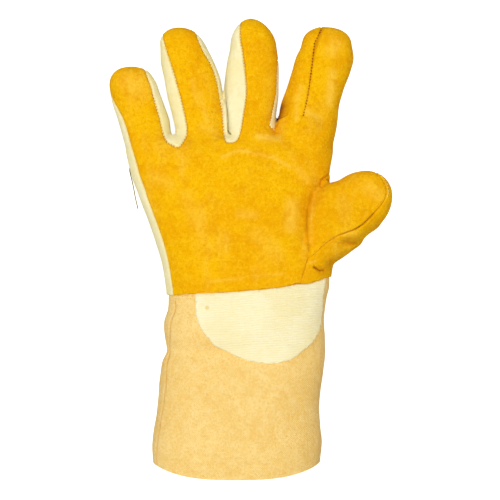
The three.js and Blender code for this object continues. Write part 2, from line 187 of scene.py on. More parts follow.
# Narrow creases, or ridges where the depth is negative: places in plan, width, depth
CREASES = [
    ([(-19.4, 116), (-18.3, 108), (-17.5, 103), (-17.1, 92), (-16.5, 88.2), (-15, 87)],
     0.55, 3.2),
    ([(-60.5, 88.5), (-57.5, 88.8)], 0.8, 2.5),
    ([(56.6, 55), (53.3, 51.7), (52.8, 48.4), (55.2, 45.1)], 0.9, 1.3),
    ([(58.4, 52.9), (61.7, 51.2)], 0.8, 1.6),
    ([(47.5, -13.3), (51.9, -16.1), (54.9, -15.6)], 0.8, 1.9),
    ([(-21, 69), (-14, 72.6), (-8, 74.4), (5.6, 72.6), (16.8, 69), (30, 61.5)], 1.3, -0.5),
    ([(46, -9), (50, -12.5)], 1.6, -0.8),
    ([(88, 11.7), (84, 6.5), (79.5, 4), (72, 5)], 2.2, 1.5),
    ([(70, 9.5), (80, 10)], 2.5, -0.7),
    ([(33, 90), (41, 97), (52, 92)], 2.0, -0.4),
]

# Swellings along the surface: x, y, z, radius, height
SWELLINGS = [
    (81, -1, 26, 9, 1.3), (71, -8, 22, 8, 1.2), (92.5, 16, 30, 4.5, 0.9), (64, -12, 22, 6, 0.4),
    (88, 10.5, 28, 3.2, -1.6), (62, 53.5, 25, 4, 2.2), (-38.5, 159.5, 16, 5.5, -1.1),
    (83.5, 3.5, 26, 4.5, 1.3), (97, 17.5, 30, 4, 1.2),
    (-74, 130, 16, 4.5, -1.0), (-40, 163, 16, 4, -0.4),
    (-63, -45.5, 26, 3.5, -0.8), (-64, -78, 26, 3.5, -0.8), (-66.5, -62, 26, 7, 0.5),
]

# The pocket at the foot of the index finger's side: its lower lip, and how far it reaches up
POCKET_LIP = [(18.5, 97.4), (24, 99.7), (29.5, 102.6)]
POCKET_REACH = 8.0
POCKET_DEPTH = 5.5

# Seams that show less than the others: places in plan with the share that shows
FAINT_SEAMS = [
    [(66, 61, 0.6), (57, 55, 0.3), (52, 50, 0.15), (44.5, 37.5, 0.1), (41.5, 20, 0.1),
     (43.5, 3, 0.1), (43, -7, 0.4), (40.5, -15, 0.7), (36, -30, 0.7)],
    [(14, 93.5, 1), (20, 90.5, 0.2), (34, 92, 0.1), (39, 100, 0.2), (42.5, 115.5, 0.45),
     (45.5, 137.5, 0.6), (54, 180, 0.7)],
    [(102, 60, 0.5), (99, 36.5, 0.6), (87.5, 23, 1.2), (66.5, 11, 0.9), (57, 5.5, 0.5),
     (46, -6, 0.3)],
    [(-90, -36, 0.5), (-57, -34.5, 0.4), (-17.5, -32, 0.3), (25.5, -28, 0.3), (56.5, -21.5, 0.4),
     (80, -18, 0.6)],
    [(17.5, 98, 0.05), (20.5, 99.5, 0.05)],
]

# The loose thread: places along it, from the glove's side to its bare end on the table
LOOSE_THREAD_WIDTH = 0.8
LOOSE_THREAD = [
    (-91.9, 66, 15), (-92.9, 61.5, 9), (-92.4, 57, 4), (-91.4, 52, 1), (-90.2, 46, 0.4),
    (-89.1, 40, 0.4), (-88.1, 35.5, 0.4), (-87.1, 31.4, 0.4),
]

# Painted shade and darker seam lines, and lighter places of painted highlight and rubbed suede: x0,
# y0, x1, y1, width, strength
SHADES = [
    (52, 49, 46, 41, 2.4, 0.35), (46, 41, 42.5, 30, 2.2, 0.6), (42.5, 30, 42, 14, 2.2, 0.7),
    (42, 14, 43.5, 0, 1.6, 0.5), (54.5, 168, 48.5, 151, 1.3, 0.6), (48.5, 151, 46.3, 137, 1.0, 0.5),
    (46.3, 137, 43.3, 115, 0.9, 0.4), (43.3, 115, 39.5, 100, 0.9, 0.25),
    (79, 4.2, 73, 4.8, 2.0, 0.6), (91, 26, 84, 18.9, 0.6, 0.7), (84, 18.9, 78, 15, 0.6, 0.9),
    (78, 15, 66.5, 11, 0.5, 0.6), (52.5, 52.5, 58, 56, 0.8, 0.6), (53, 51, 53, 48, 0.8, 0.25),
    (58, 52.8, 62, 51, 0.8, 0.5), (47.5, -13.3, 52, -16, 0.9, 0.9), (52, -16, 55, -15.5, 0.9, 0.8),
    (54, -17, 60, -9, 4.0, 0.4), (84, 6, 71, 5, 3.0, 0.2),
    (-46, 79.5, -45, 80.5, 2.2, 0.3), (48, 100, 50, 92, 4, 0.2), (60, 24, 72, 32, 11, 0.13),
]
# The edge that the pocket is darkest along, how wide its shade is and where it fades upward
POCKET_DARKEST = [(19.4, 98.5), (20.4, 101.5), (22, 106), (23.8, 110.6), (25.1, 115)]
POCKET_SHADE = (5.4, 106, 122)
CREAM_SHADES = [
    (-17.1, 96, -16.9, 90, 0.5, 0.5), (-16.9, 90, -15, 87, 0.7, 0.8),
    (-57.6, 88.6, -57.2, 89.4, 0.8, 0.9), (-61, 88.4, -57.5, 88.6, 0.7, 0.5),
]
# The valley between the ring and the middle finger: the middle finger's side of it lies in shade
VALLEY = [
    (145, -19.6), (130, -20.2), (122, -19.9), (116, -19.3), (108, -18.3), (100, -17.4), (87, -16.4),
]
VALLEY_SHADE = (0.5, 2.6)  # strength, width
# Lighter places: painted highlights on ridges, bulges and fingertips, and suede rubbed lighter
HIGHLIGHTS_AND_WEAR = [
    (62, 134, 59.5, 110, 3.2, 0.7), (64, 156, 61, 150, 5.0, 0.5), (37.5, 122, 35, 112, 2.4, 0.6),
    (35, 112, 34.5, 98, 1.8, 0.6), (42, 104.5, 53, 98, 1.5, 0.6), (6, 85, 22, 83.5, 2.6, 0.8),
    (47.5, 38, 45, 22, 1.5, 0.45), (45, 22, 45.5, 4, 1.4, 0.35),
    (-21, 69, -8, 74.4, 1.5, 0.5), (-8, 74.4, 16.8, 69, 1.5, 0.6), (16.8, 69, 30, 61.5, 1.5, 0.5),
    (31, 34, 30, 17, 4.2, 0.7), (-8, 26.5, 3, 25.5, 2.8, 0.5), (88, 46, 95, 40, 5.0, 0.4),
    (36, 60, 42, 52, 3.0, 0.4), (48, -9, 45, -9.5, 1.2, 0.6), (-38, 118, -33, 96, 2.0, 0.35),
    (-40, 110, -44, 128, 1.8, 0.4), (-88, 122, -95, 128, 5, 0.35), (-36, 92, -30, 90, 3, 0.4),
    (-30, -24, -5, -21, 1.0, 0.5), (2, -20, 24, -18, 1.0, 0.4), (71, 12, 78, 12, 2.5, 0.5),
    (-70, 55, -60, 48, 4, 0.25), (-48, 40, -40, 20, 5, 0.25), (5, 10, 20, -5, 6, 0.25),
]
# Panel outlines in plan. A third value is the height that a leaning edge is meant at.
WRIST_LINE = [
    (-90, -36), (-57, -34.5), (-17.5, -32), (7, -30), (25.5, -28), (35.5, -25.5), (42.5, -26),
    (49.5, -24), (56.5, -21.5), (80, -18),
]
LITTLE_EDGE = [
    (-57.5, -40, 36), (-58, -30, 36), (-61, -8.5, 35), (-65, 7, 35), (-70.5, 22.5, 34),
    (-79.5, 44, 35), (-87, 67, 33), (-93.5, 90, 28), (-97.5, 100.5, 25), (-103.5, 113.5, 20),
    (-112, 126, 16),
]
LITTLE_RING_GAP = [
    (-83, 143), (-75, 123.5), (-73.5, 116), (-68.5, 99), (-64.5, 82.5), (-59.5, 78.5), (-53, 76),
    (-48, 86), (-48, 93.5), (-52.5, 113.5), (-59.5, 138), (-65.5, 154.5), (-68.5, 170),
    (-83, 170),
]
RING_MIDDLE_GAP = [
    (-42.5, 180), (-42.5, 167), (-36, 150.5), (-29, 140), (-24.7, 125.5), (-22.7, 113),
    (-20.3, 88.5), (-19, 81), (-14.5, 80), (-8.5, 82.5), (-5, 104), (-3, 115.5), (-3, 127),
    (-6, 150), (-8.3, 159), (-8, 180),
]
MIDDLE_EDGE = [
    (21.5, 180), (21.5, 158), (20.3, 127), (19.9, 119), (18.4, 111), (16.4, 101.5), (14, 93.5),
    (18.3, 90.8),
]
INDEX_EDGE = [
    (18.3, 90.8), (34, 92), (39.6, 100), (43.3, 115.5), (46.3, 137.5), (48.3, 156), (53.5, 166.5),
    (56, 180),
]
MIDDLE_INDEX_DIVIDE = [(19.7, 98.6), (22.5, 105.5), (27, 143), (33, 184)]
INDEX_BACK = [(24, 93), (72, 93), (140, 140), (140, 210), (33, 210), (27, 143)]
PALM_CORNER = (43, -7)
THUMB_BASE_EDGE = [
    (68, 90), (66, 61), (57, 55), (52, 50), (47, 42.5), (44.5, 37.5), (42.5, 28.5), (41.5, 20),
    (43, 11.5), (43.5, 3), PALM_CORNER, (40.5, -15), (38.5, -21.5), (36, -30),
]
THUMB_FRONT_EDGE = [
    (90, 80), (93.5, 57), (97.5, 53.5), (100.6, 49), (101.6, 43), (100.3, 37.5), (96.5, 32),
    (87.5, 22.3), (84, 18.6), (78, 14.8), (66.5, 11),
    (57, 5.5), (47, -4.5), PALM_CORNER,
]
CUFF_SIDE_SEAM = [
    (-57.3, -34.6, 36), (-57, -45, 37), (-60.5, -60, 37), (-61, -75.5, 34), (-63, -103.5, 40),
    (-65, -117, 40), (-68.5, -138, 40), (-70.5, -185, 40),
]
PATCH_EDGE = [
    (54, -38), (53, -53), (50.5, -64), (43, -73), (33, -80.5), (20, -85.5), (4, -84.5),
    (-12, -79.5), (-29, -70), (-38, -58), (-41, -46), (-41, -33),
]
THUMB_FAR_SEAM = {"at_base": 20.0, "at_tip": 34.0, "base_x": 50.0, "tip_x": 100.0}


# Smooth curve through rows of values, at places along the first argument
def smooth_rows(xs, rows, at):
    xs = np.asarray(xs, float)
    rows = np.asarray(rows, float)
    slopes = np.gradient(rows, xs, axis=0)
    i = np.clip(np.searchsorted(xs, at, side="right") - 1, 0, len(xs) - 2)
    h = (xs[i + 1] - xs[i])[:, None]
    t = (at - xs[i])[:, None] / h
    return (
        rows[i] * (1 + 2 * t) * (1 - t) ** 2 + rows[i + 1] * t * t * (3 - 2 * t)
        + slopes[i] * h * t * (1 - t) ** 2 - slopes[i + 1] * h * t * t * (1 - t)
    )


def smoothstep(low, high, value):
    t = np.clip((value - low) / (high - low), 0, 1)
    return t * t * (3 - 2 * t)


def unit(vectors):
    return vectors / np.maximum(np.linalg.norm(vectors, axis=-1, keepdims=True), 1e-12)


# How far along a line in plan each of its points lies
def run_along(line):
    return np.concatenate([[0], np.cumsum(np.hypot(*np.diff(line, axis=0).T))])


# Places on a squared circle of radius 1, across and up
def squared_circle(angle):
    c, s = np.cos(angle), np.sin(angle)
    power = 2 / SQUARENESS
    return np.sign(c) * np.abs(c) ** power, np.sign(s) * np.abs(s) ** power


def add_object(name, data):
    made = bpy.data.objects.new(name, data)
    bpy.context.scene.collection.objects.link(made)
    return made


# One rounded cross-section as a ring of points
def section_ring(x, y, half, mid, up, down, across, sides, bow=0.0):
    u, w = squared_circle(np.linspace(0, 2 * np.pi, sides, endpoint=False))
    ring = np.empty((sides, 3))
    ring[:, 0] = x + across[0] * half * u
    ring[:, 1] = y + across[1] * half * u - bow * (1 - np.abs(u) ** 3)
    ring[:, 2] = np.maximum(mid + w * np.where(w > 0, up, down), 0)
    return ring


# A closed body through rings, with a point at each end
def loft(rings):
    rings = np.asarray(rings)
    count, sides = rings.shape[:2]
    points = np.vstack([rings.reshape(-1, 3), rings[0].mean(0), rings[-1].mean(0)])
    faces = []
    i = np.arange(sides)
    j = (i + 1) % sides
    for r in range(count - 1):
        a, b = r * sides + i, r * sides + j
        faces += [np.stack([a, a + sides, b], 1), np.stack([b, a + sides, b + sides], 1)]
    first, last = count * sides, count * sides + 1
    end = (count - 1) * sides
    faces.append(np.stack([i, j, np.full(sides, first)], 1))
    faces.append(np.stack([end + i, np.full(sides, last), end + j], 1))
    return points, np.vstack(faces)


def trunk_loft():
    hem = TRUNK[0, 0]
    ys = np.concatenate([[hem - HEM_SPARE], np.arange(hem, TRUNK[-1, 0] + 0.01, RING_STEP)])
    table = smooth_rows(TRUNK[:, 0], TRUNK[:, 1:], np.maximum(ys, hem))
    rings = []
    for y, (left, right, mid, top) in zip(ys, table):
        bow = HEM_BOW * min(1.0, max(0.0, 1 - (y - hem) / HEM_BOW_REACH))
        rings.append(section_ring(
            (left + right) / 2, y, (right - left) / 2, mid, top - mid, mid + FLATTENED,
            (1, 0), TRUNK_SIDES, bow,
        ))
    return loft(rings)


def limb_loft(heading, tip, tip_shape, rows):
    rows = np.array(rows, float)
    angle = math.radians(heading)
    across = (math.cos(angle), -math.sin(angle))
    steps = np.hypot(*np.diff(rows[:, :2], axis=0).T)
    along = np.concatenate([[0], np.cumsum(steps)])
    at = np.arange(0, along[-1], RING_STEP)
    sections = list(smooth_rows(along, rows, at))
    last, before = rows[-1], rows[-2]
    to_tip = np.array(tip) - last[:2]
    length = np.hypot(*to_tip)
    to_tip /= length
    rise = (last[3] - before[3]) / steps[-1]
    for t in np.sin(np.linspace(0, 0.998, TIP_RINGS) * np.pi / 2):
        scale = max((1 - t ** tip_shape), 1e-5) ** (1 / tip_shape)
        place = last[:2] + to_tip * length * t
        sections.append(np.array([
            *place, last[2] * scale, last[3] + rise * length * t, last[4] * scale, last[5] * scale,
        ]))
    return loft([section_ring(*section, across, LIMB_SIDES) for section in sections])


# Shift across the glove that widens the finger gaps
def gap_opening(x, y):
    strength = GAP_OPENING * smoothstep(*GAP_ROWS, y)
    shift = np.zeros(len(x))
    for line in FINGER_GAPS:
        line = np.array(line, float)
        shift += strength * np.tanh((x - np.interp(y, line[:, 0], line[:, 1])) / GAP_REACH)
    return shift


def opened(points):
    points = points.copy()
    points[:, 0] += gap_opening(points[:, 0], points[:, 1])
    return points


# Undoes opened() by bisection
def closed(points):
    low, high = points[:, 0] - 4 * GAP_OPENING, points[:, 0] + 4 * GAP_OPENING
    for _ in range(40):
        x = (low + high) / 2
        past = x + gap_opening(x, points[:, 1]) > points[:, 0]
        high = np.where(past, x, high)
        low = np.where(past, low, x)
    points = points.copy()
    points[:, 0] = (low + high) / 2
    return points


# The whole outer surface in one skin of nearly even triangles
def outer_skin():
    parts = [trunk_loft()] + [limb_loft(**limb) for limb in (*LIMBS.values(), *WEBS.values())]
    points, faces, start = [], [], 0
    for part_points, part_faces in parts:
        points.append(part_points)
        faces.append(part_faces + start)
        start += len(part_points)
    mesh = bpy.data.meshes.new("skin_source")
    mesh.from_pydata(opened(np.vstack(points)).tolist(), [], np.vstack(faces).tolist())
    source = add_object("skin_source", mesh)
    remesh = source.modifiers.new("remesh", "REMESH")
    remesh.mode = "VOXEL"
    remesh.voxel_size = VOXEL
    remesh.adaptivity = 0
    evaluated = source.evaluated_get(bpy.context.evaluated_depsgraph_get())
    made = evaluated.to_mesh()
    made.calc_loop_triangles()
    skin_points = np.empty(len(made.vertices) * 3)
    made.vertices.foreach_get("co", skin_points)
    skin_faces = np.empty(len(made.loop_triangles) * 3, np.int32)
    made.loop_triangles.foreach_get("vertices", skin_faces)
    evaluated.to_mesh_clear()
    bpy.data.objects.remove(source)
    bpy.data.meshes.remove(mesh)
    return closed(skin_points.reshape(-1, 3)), skin_faces.reshape(-1, 3).astype(np.int64)


def directed_edges(faces):
    return np.vstack([faces[:, [0, 1]], faces[:, [1, 2]], faces[:, [2, 0]]])


def edges_of(faces):
    return np.unique(np.sort(directed_edges(faces), axis=1), axis=0)


def relaxed(points, faces, times, share=0.5):
    edges = edges_of(faces)
    a, b = edges[:, 0], edges[:, 1]
    count = np.bincount(edges.ravel(), minlength=len(points))[:, None]
    for _ in range(times):
        total = np.zeros_like(points)
        for axis in range(points.shape[1]):
            total[:, axis] += np.bincount(a, points[b, axis], len(points))
            total[:, axis] += np.bincount(b, points[a, axis], len(points))
        points = points + share * (total / np.maximum(count, 1) - points)
    return points


def normals_of(points, faces):
    p0, p1, p2 = (points[faces[:, k]] for k in range(3))
    face_normals = np.cross(p1 - p0, p2 - p0)
    out = np.zeros_like(points)
    for k in range(3):
        for axis in range(3):
            out[:, axis] += np.bincount(faces[:, k], face_normals[:, axis], len(points))
    return unit(out)


# Smooth noise between -1 and 1 on a random lattice
def lattice_noise(points, cell, seed):
    size = 48
    lattice = np.random.default_rng(seed).uniform(-1, 1, (size, size, size))
    q = points / cell
    base = np.floor(q).astype(int)
    f = q - base
    f = f * f * (3 - 2 * f)
    out = np.zeros(len(points))
    for dx in (0, 1):
        for dy in (0, 1):
            for dz in (0, 1):
                weight = (
                    (f[:, 0] if dx else 1 - f[:, 0])
                    * (f[:, 1] if dy else 1 - f[:, 1])
                    * (f[:, 2] if dz else 1 - f[:, 2])
                )
                corner = (base + (dx, dy, dz)) % size
                out += weight * lattice[corner[:, 0], corner[:, 1], corner[:, 2]]
    return out


def noise_of(points, rows):
    return sum(height * lattice_noise(points, cell, seed) for height, cell, seed in rows)


# Distance in plan to an open line, and the line's further columns at the nearest place
def along_line(points, line):
    line = np.array(line, float)
    px, py = points[:, 0], points[:, 1]
    best = np.full(len(points), 1e18)
    values = np.zeros((len(points), line.shape[1] - 2))
    for a, b in zip(line[:-1], line[1:]):
        dx, dy = b[:2] - a[:2]
        run = max(dx * dx + dy * dy, 1e-12)
        t = np.clip(((px - a[0]) * dx + (py - a[1]) * dy) / run, 0, 1)
        away = (px - a[0] - t * dx) ** 2 + (py - a[1] - t * dy) ** 2
        near = away < best
        best[near] = away[near]
        values[near] = (a[2:] + t[:, None] * (b[2:] - a[2:]))[near]
    return np.sqrt(best), values


def line_distance(points, line):
    return along_line(points, line)[0]


# Soft-edged strokes in plan, the strongest one at each point
def strokes(points, table):
    out = np.zeros(len(points))
    for x0, y0, x1, y1, width, strength in table:
        away = line_distance(points, [(x0, y0), (x1, y1)]) / width
        out = np.maximum(out, strength * np.exp(-away * away))
    return out


# How much of its full depth and colour the nearest seam shows
def seam_share(points):
    share = np.ones(len(points))
    for line in FAINT_SEAMS:
        away, value = along_line(points, line)
        near = smoothstep(*FAINT_REACH, away)
        share = share * (1 - near) + value[:, 0] * near
    return share


# Where a point lies in the pocket, from 0 outside it to 1 against its lip
def pocket_share(points):
    lip = np.array(POCKET_LIP)
    away = line_distance(points, lip)
    at = np.interp(points[:, 0], lip[:, 0], lip[:, 1])
    above = points[:, 1] - at
    past_end = np.maximum(points[:, 0] - lip[-1, 0], 0) + np.maximum(lip[0, 0] - points[:, 0], 0)
    fade = 1 - smoothstep(0, POCKET_REACH, np.hypot(away, past_end))
    across = smoothstep(*POCKET_LEFT, points[:, 0]) * smoothstep(*POCKET_RIGHT, points[:, 0])
    return smoothstep(*POCKET_EDGE, above) * fade * across


# Distance in plan to a closed outline, negative inside it
def signed_distance(points, outline):
    px, py = points[:, 0], points[:, 1]
    inside = np.zeros(len(points), bool)
    for (ax, ay), (bx, by) in zip(outline, np.roll(outline, -1, axis=0)):
        crosses = (ay > py) != (by > py)
        rise = by - ay if by != ay else 1e-12
        inside ^= crosses & (px < ax + (py - ay) / rise * (bx - ax))
    away = line_distance(points, np.vstack([outline, outline[:1]]))
    return np.where(inside, -away, away)


# An outline whose edge waves a little at each stitch
def scalloped(points, outline):
    _, place = along_line(points, np.column_stack([outline, run_along(outline)]))
    patchy = SCALLOP_EVEN + noise_of(points, SCALLOP_NOISE)
    wave = SCALLOP * patchy * np.cos(2 * np.pi * place[:, 0] / STITCH_PITCH)
    return signed_distance(points, outline) + wave


# Rounds an outline's corners by cutting them, except where a point is in sharp
def rounded(outline, sharp=(), times=3):
    points = []
    for point in outline:
        points += [point[:2]] * (4 if point in sharp else 1)
    points = np.array(points, float)
    for _ in range(times):
        after = np.roll(points, -1, axis=0)
        points = np.stack([0.75 * points + 0.25 * after, 0.25 * points + 0.75 * after], 1)
        points = points.reshape(-1, 2)
    return points


# Points moved across, so that a leaning edge on the little finger's side can be tested in plan
def leaned(points, edge):
    edge = np.array(sorted(edge, key=lambda row: row[1]), float)
    at = np.interp(points[:, 1], edge[:, 1], edge[:, 2])
    near = 1 - smoothstep(*LEAN_SIDE, points[:, 0])
    moved = points.copy()
    moved[:, 0] -= near * LEAN * (at - points[:, 2])
    return moved


def thumb_far_seam(x):
    seam = THUMB_FAR_SEAM
    share = (x - seam["base_x"]) / (seam["tip_x"] - seam["base_x"])
    return seam["at_base"] + share * (seam["at_tip"] - seam["at_base"])


# A panel's field: negative inside its outline, and above its lowest height or a seam's height
def panel_field(outline, measure=signed_distance, lean=None, lowest=None):
    def field(points):
        away = measure(leaned(points, lean) if lean else points, outline)
        if lowest is None:
            return away
        height = lowest(points[:, 0]) if callable(lowest) else lowest
        return np.maximum(away, height - points[:, 2])
    return field


# The panels in the order that they are cut, each as a field that is negative inside the panel
def panel_fields():
    left, right, up, down = -140, 140, 210, -210  # well past the glove on each side
    meeting = THUMB_BASE_EDGE.index(PALM_CORNER)
    foot = MIDDLE_EDGE[-1]
    cuff_front = [*CUFF_SIDE_SEAM, (right, down), (right, -12), *WRIST_LINE[:1:-1]]
    cuff_back = [*WRIST_LINE, (right, -12), (right, down), (left, down), (left, -36)]
    thumb_front = [*THUMB_BASE_EDGE[:meeting + 1], *THUMB_FRONT_EDGE[::-1][1:]]
    thumb_back = [*THUMB_BASE_EDGE, (right, -30), (right, 90)]
    middle = [*MIDDLE_EDGE, *MIDDLE_INDEX_DIVIDE]
    index = [*INDEX_EDGE, *MIDDLE_INDEX_DIVIDE[::-1]]
    palm = [*LITTLE_EDGE, (-112, up), (right, up), (right, -40)]
    return {
        "cuff_front": panel_field(
            rounded(cuff_front, sharp=[CUFF_SIDE_SEAM[0]]), lean=CUFF_SIDE_SEAM, lowest=CUFF_SEAM),
        "cuff_back": panel_field(rounded(cuff_back)),
        "thumb_front": panel_field(
            rounded(thumb_front, sharp=[PALM_CORNER]), lowest=thumb_far_seam),
        "thumb_back": panel_field(rounded(thumb_back), lowest=THUMB_SEAM),
        "little_ring_side": panel_field(rounded(LITTLE_RING_GAP), scalloped, lowest=BACK_SEAM),
        "ring_middle_side": panel_field(rounded(RING_MIDDLE_GAP), scalloped, lowest=BACK_SEAM),
        "middle_side": panel_field(rounded(middle, sharp=[foot]), scalloped, lowest=BACK_SEAM),
        "index_side": panel_field(rounded(index, sharp=[foot]), lowest=BACK_SEAM),
        "palm_leather": panel_field(rounded(palm), lean=LITTLE_EDGE, lowest=BACK_SEAM),
        "index_back": panel_field(rounded(INDEX_BACK)),
    }


# Moves points that lie close to a field's zero onto it, along the surface
def settle_on_zero(points, normals, used, field, reach, step=0.05, least_slope=0.04):
    values = field(points[used])
    close = used[np.abs(values) < reach]
    for _ in range(2):
        p, n = points[close], normals[close]
        value = field(p)
        gradient = np.stack([
            (field(p + step * axis) - field(p - step * axis)) / (2 * step) for axis in np.eye(3)
        ], 1)
        tangent = gradient - (gradient * n).sum(1, keepdims=True) * n
        size = np.maximum((tangent ** 2).sum(1, keepdims=True), least_slope)
        move = -value[:, None] * tangent / size
        length = np.linalg.norm(move, axis=1, keepdims=True)
        points[close] = p + move * np.minimum(1, reach / np.maximum(length, 1e-9))
    return close


# Splits the faces along a field's zero. Rows of data belong to the points.
def split_faces(data, faces, values):
    data = data.copy()
    values = values.copy()
    values[np.abs(values) < 1e-4] = 0
    signs = np.sign(values).astype(int)
    face_signs = signs[faces]
    inside = (face_signs <= 0).all(1) & (face_signs < 0).any(1)
    outside = (face_signs >= 0).all(1)
    crossed = faces[~inside & ~outside]
    keep_in, keep_out = [faces[inside]], [faces[outside]]
    if len(crossed):
        pairs = np.sort(directed_edges(crossed), axis=1)
        cut = signs[pairs[:, 0]] * signs[pairs[:, 1]] < 0
        edges = np.unique(pairs[cut], axis=0)
        a, b = edges[:, 0], edges[:, 1]
        t = (values[a] / (values[a] - values[b]))[:, None]
        new = np.arange(len(data), len(data) + len(edges))
        place = {(int(i), int(j)): int(k) for (i, j), k in zip(edges, new)}
        data = np.vstack([data, data[a] * (1 - t) + data[b] * t])
        into, out = [], []
        for face in crossed.tolist():
            ring = []
            for k in range(3):
                i, j = face[k], face[(k + 1) % 3]
                ring.append((i, signs[i]))
                if signs[i] * signs[j] < 0:
                    ring.append((place[(min(i, j), max(i, j))], 0))
            for side, target in ((-1, into), (1, out)):
                loop = [i for i, sign in ring if sign * side >= 0]
                target += [(loop[0], loop[k], loop[k + 1]) for k in range(1, len(loop) - 1)]
        keep_in.append(np.array(into, np.int64).reshape(-1, 3))
        keep_out.append(np.array(out, np.int64).reshape(-1, 3))
    return data, np.vstack(keep_in), np.vstack(keep_out)


# Splits faces into connected groups, largest first
def groups_of(faces, count):
    label = np.arange(count)
    edges = edges_of(faces)
    while True:
        low = np.minimum(label[edges[:, 0]], label[edges[:, 1]])
        before = label.copy()
        np.minimum.at(label, edges[:, 0], low)
        np.minimum.at(label, edges[:, 1], low)
        label = label[label]
        if (label == before).all():
            break
    face_label = label[faces[:, 0]]
    names, sizes = np.unique(face_label, return_counts=True)
    return [faces[face_label == name] for name in names[np.argsort(-sizes)]]


# Cuts the skin into its panels, each as faces on one shared table of points and normals
def cut_panels(points, normals, faces):
    near = [np.abs(field(points)) < FINE_REACH for field in panel_fields().values()]
    points, normals, faces = refined(points, normals, faces, np.any(near, axis=0))
    data = np.hstack([points, normals])
    panels = {}
    rest = faces
    for name, field in panel_fields().items():
        used = np.unique(rest)
        pts, nrm = data[:, :3].copy(), data[:, 3:6]
        close = settle_on_zero(pts, nrm, used, field, SETTLE_REACH)
        data[:, :3] = pts
        values = np.full(len(data), 1.0)
        values[used] = field(data[used, :3])
        nearly = close[np.abs(values[close]) < ON_SEAM]
        values[nearly] = 0
        data, inside, outside = split_faces(data, rest, values)
        bodies = groups_of(inside, len(data))
        panels[name] = bodies[0]
        rest = np.vstack([outside, *bodies[1:]])
    panels["back_cloth"] = rest
    return data, panels


# The edges that belong to one face only
def boundary_edges(faces):
    edges = directed_edges(faces)
    base = int(faces.max()) + 1
    forward = edges[:, 0] * base + edges[:, 1]
    backward = edges[:, 1] * base + edges[:, 0]
    return edges[~np.isin(forward, backward)]


# Splits the marked edges of a mesh in half, with new points on the curved surface
def refined(points, normals, faces, marked):
    edges = edges_of(faces)
    chosen = edges[marked[edges[:, 0]] & marked[edges[:, 1]]]
    base = len(points)
    keys = chosen[:, 0] * base + chosen[:, 1]
    order = np.argsort(keys)
    keys = keys[order]
    chosen = chosen[order]
    p0, p1 = points[chosen[:, 0]], points[chosen[:, 1]]
    n0, n1 = normals[chosen[:, 0]], normals[chosen[:, 1]]
    mid = (p0 + p1) / 2
    lift = (
        ((p0 - mid) * n0).sum(1, keepdims=True) * n0 + ((p1 - mid) * n1).sum(1, keepdims=True) * n1
    )
    mid = mid + 3 / 8 * lift

    def middle_of(a, b):
        key = np.minimum(a, b) * base + np.maximum(a, b)
        at = np.searchsorted(keys, key)
        at = np.minimum(at, len(keys) - 1)
        found = keys[at] == key
        return np.where(found, base + at, -1)

    middles = np.stack([middle_of(faces[:, k], faces[:, (k + 1) % 3]) for k in range(3)], 1)
    split = (middles >= 0).sum(1)
    out = [faces[split == 0]]
    for count in (1, 2, 3):
        group, mids = faces[split == count], middles[split == count]
        if not len(group):
            continue
        # Turn each face so that its split edges come first
        turned, turned_mids = group.copy(), mids.copy()
        for turn in range(3):
            g = np.roll(group, -turn, axis=1)
            m = np.roll(mids, -turn, axis=1)
            fits = (m[:, :count] >= 0).all(1)
            turned[fits], turned_mids[fits] = g[fits], m[fits]
        a, b, c = turned.T
        ab, bc, ca = turned_mids.T
        if count == 1:
            out += [np.stack([a, ab, c], 1), np.stack([ab, b, c], 1)]
        elif count == 2:
            out += [
                np.stack([a, ab, c], 1), np.stack([ab, bc, c], 1), np.stack([ab, b, bc], 1),
            ]
        else:
            out += [
                np.stack([a, ab, ca], 1), np.stack([ab, b, bc], 1), np.stack([ca, bc, c], 1),
                np.stack([ab, bc, ca], 1),
            ]
    return np.vstack([points, mid]), np.vstack([normals, unit(n0 + n1)]), np.vstack(out)


# How far a point lies below the wrist line in plan
def wrist_distance(points):
    line = np.array(WRIST_LINE, float)
    return np.interp(points[:, 0], line[:, 0], line[:, 1]) - points[:, 1]


# The hem line in plan: how far a point lies above it
def above_hem(points):
    left, right = TRUNK[0, 1:3]
    u = np.abs(points[:, 0] - (left + right) / 2) / ((right - left) / 2)
    return points[:, 1] - (TRUNK[0, 0] - HEM_BOW * (1 - np.minimum(u, 1) ** 3))


# The loops of points round a panel's edge
def rim_loops(faces):
    after = {int(a): int(b) for a, b in boundary_edges(faces)}
    loops = []
    while after:
        start, at = after.popitem()
        loop = [start]
        while at != start and at in after:
            loop.append(at)
            at = after.pop(at)
        loops.append(loop)
    return loops


# Places a stitch pitch apart along the panels' edges
def stitch_places(data, panels):
    places = []
    for faces in panels.values():
        for loop in rim_loops(faces):
            ring = data[loop + loop[:1], :3]
            run = np.concatenate([[0], np.cumsum(np.linalg.norm(np.diff(ring, axis=0), axis=1))])
            at = np.arange(0, run[-1], STITCH_PITCH)
            for place in np.stack([np.interp(at, run, ring[:, k]) for k in range(3)], 1):
                if above_hem(place[None])[0] < HEM_CLEAR:
                    continue
                near = np.array(places[-4000:]).reshape(-1, 3) - place
                if not len(near) or (near ** 2).sum(1).min() > (STITCH_APART * STITCH_PITCH) ** 2:
                    places.append(place)
    return np.array(places)


def tree_of(points):
    tree = KDTree(len(points))
    for k, point in enumerate(points):
        tree.insert(point, k)
    tree.balance()
    return tree


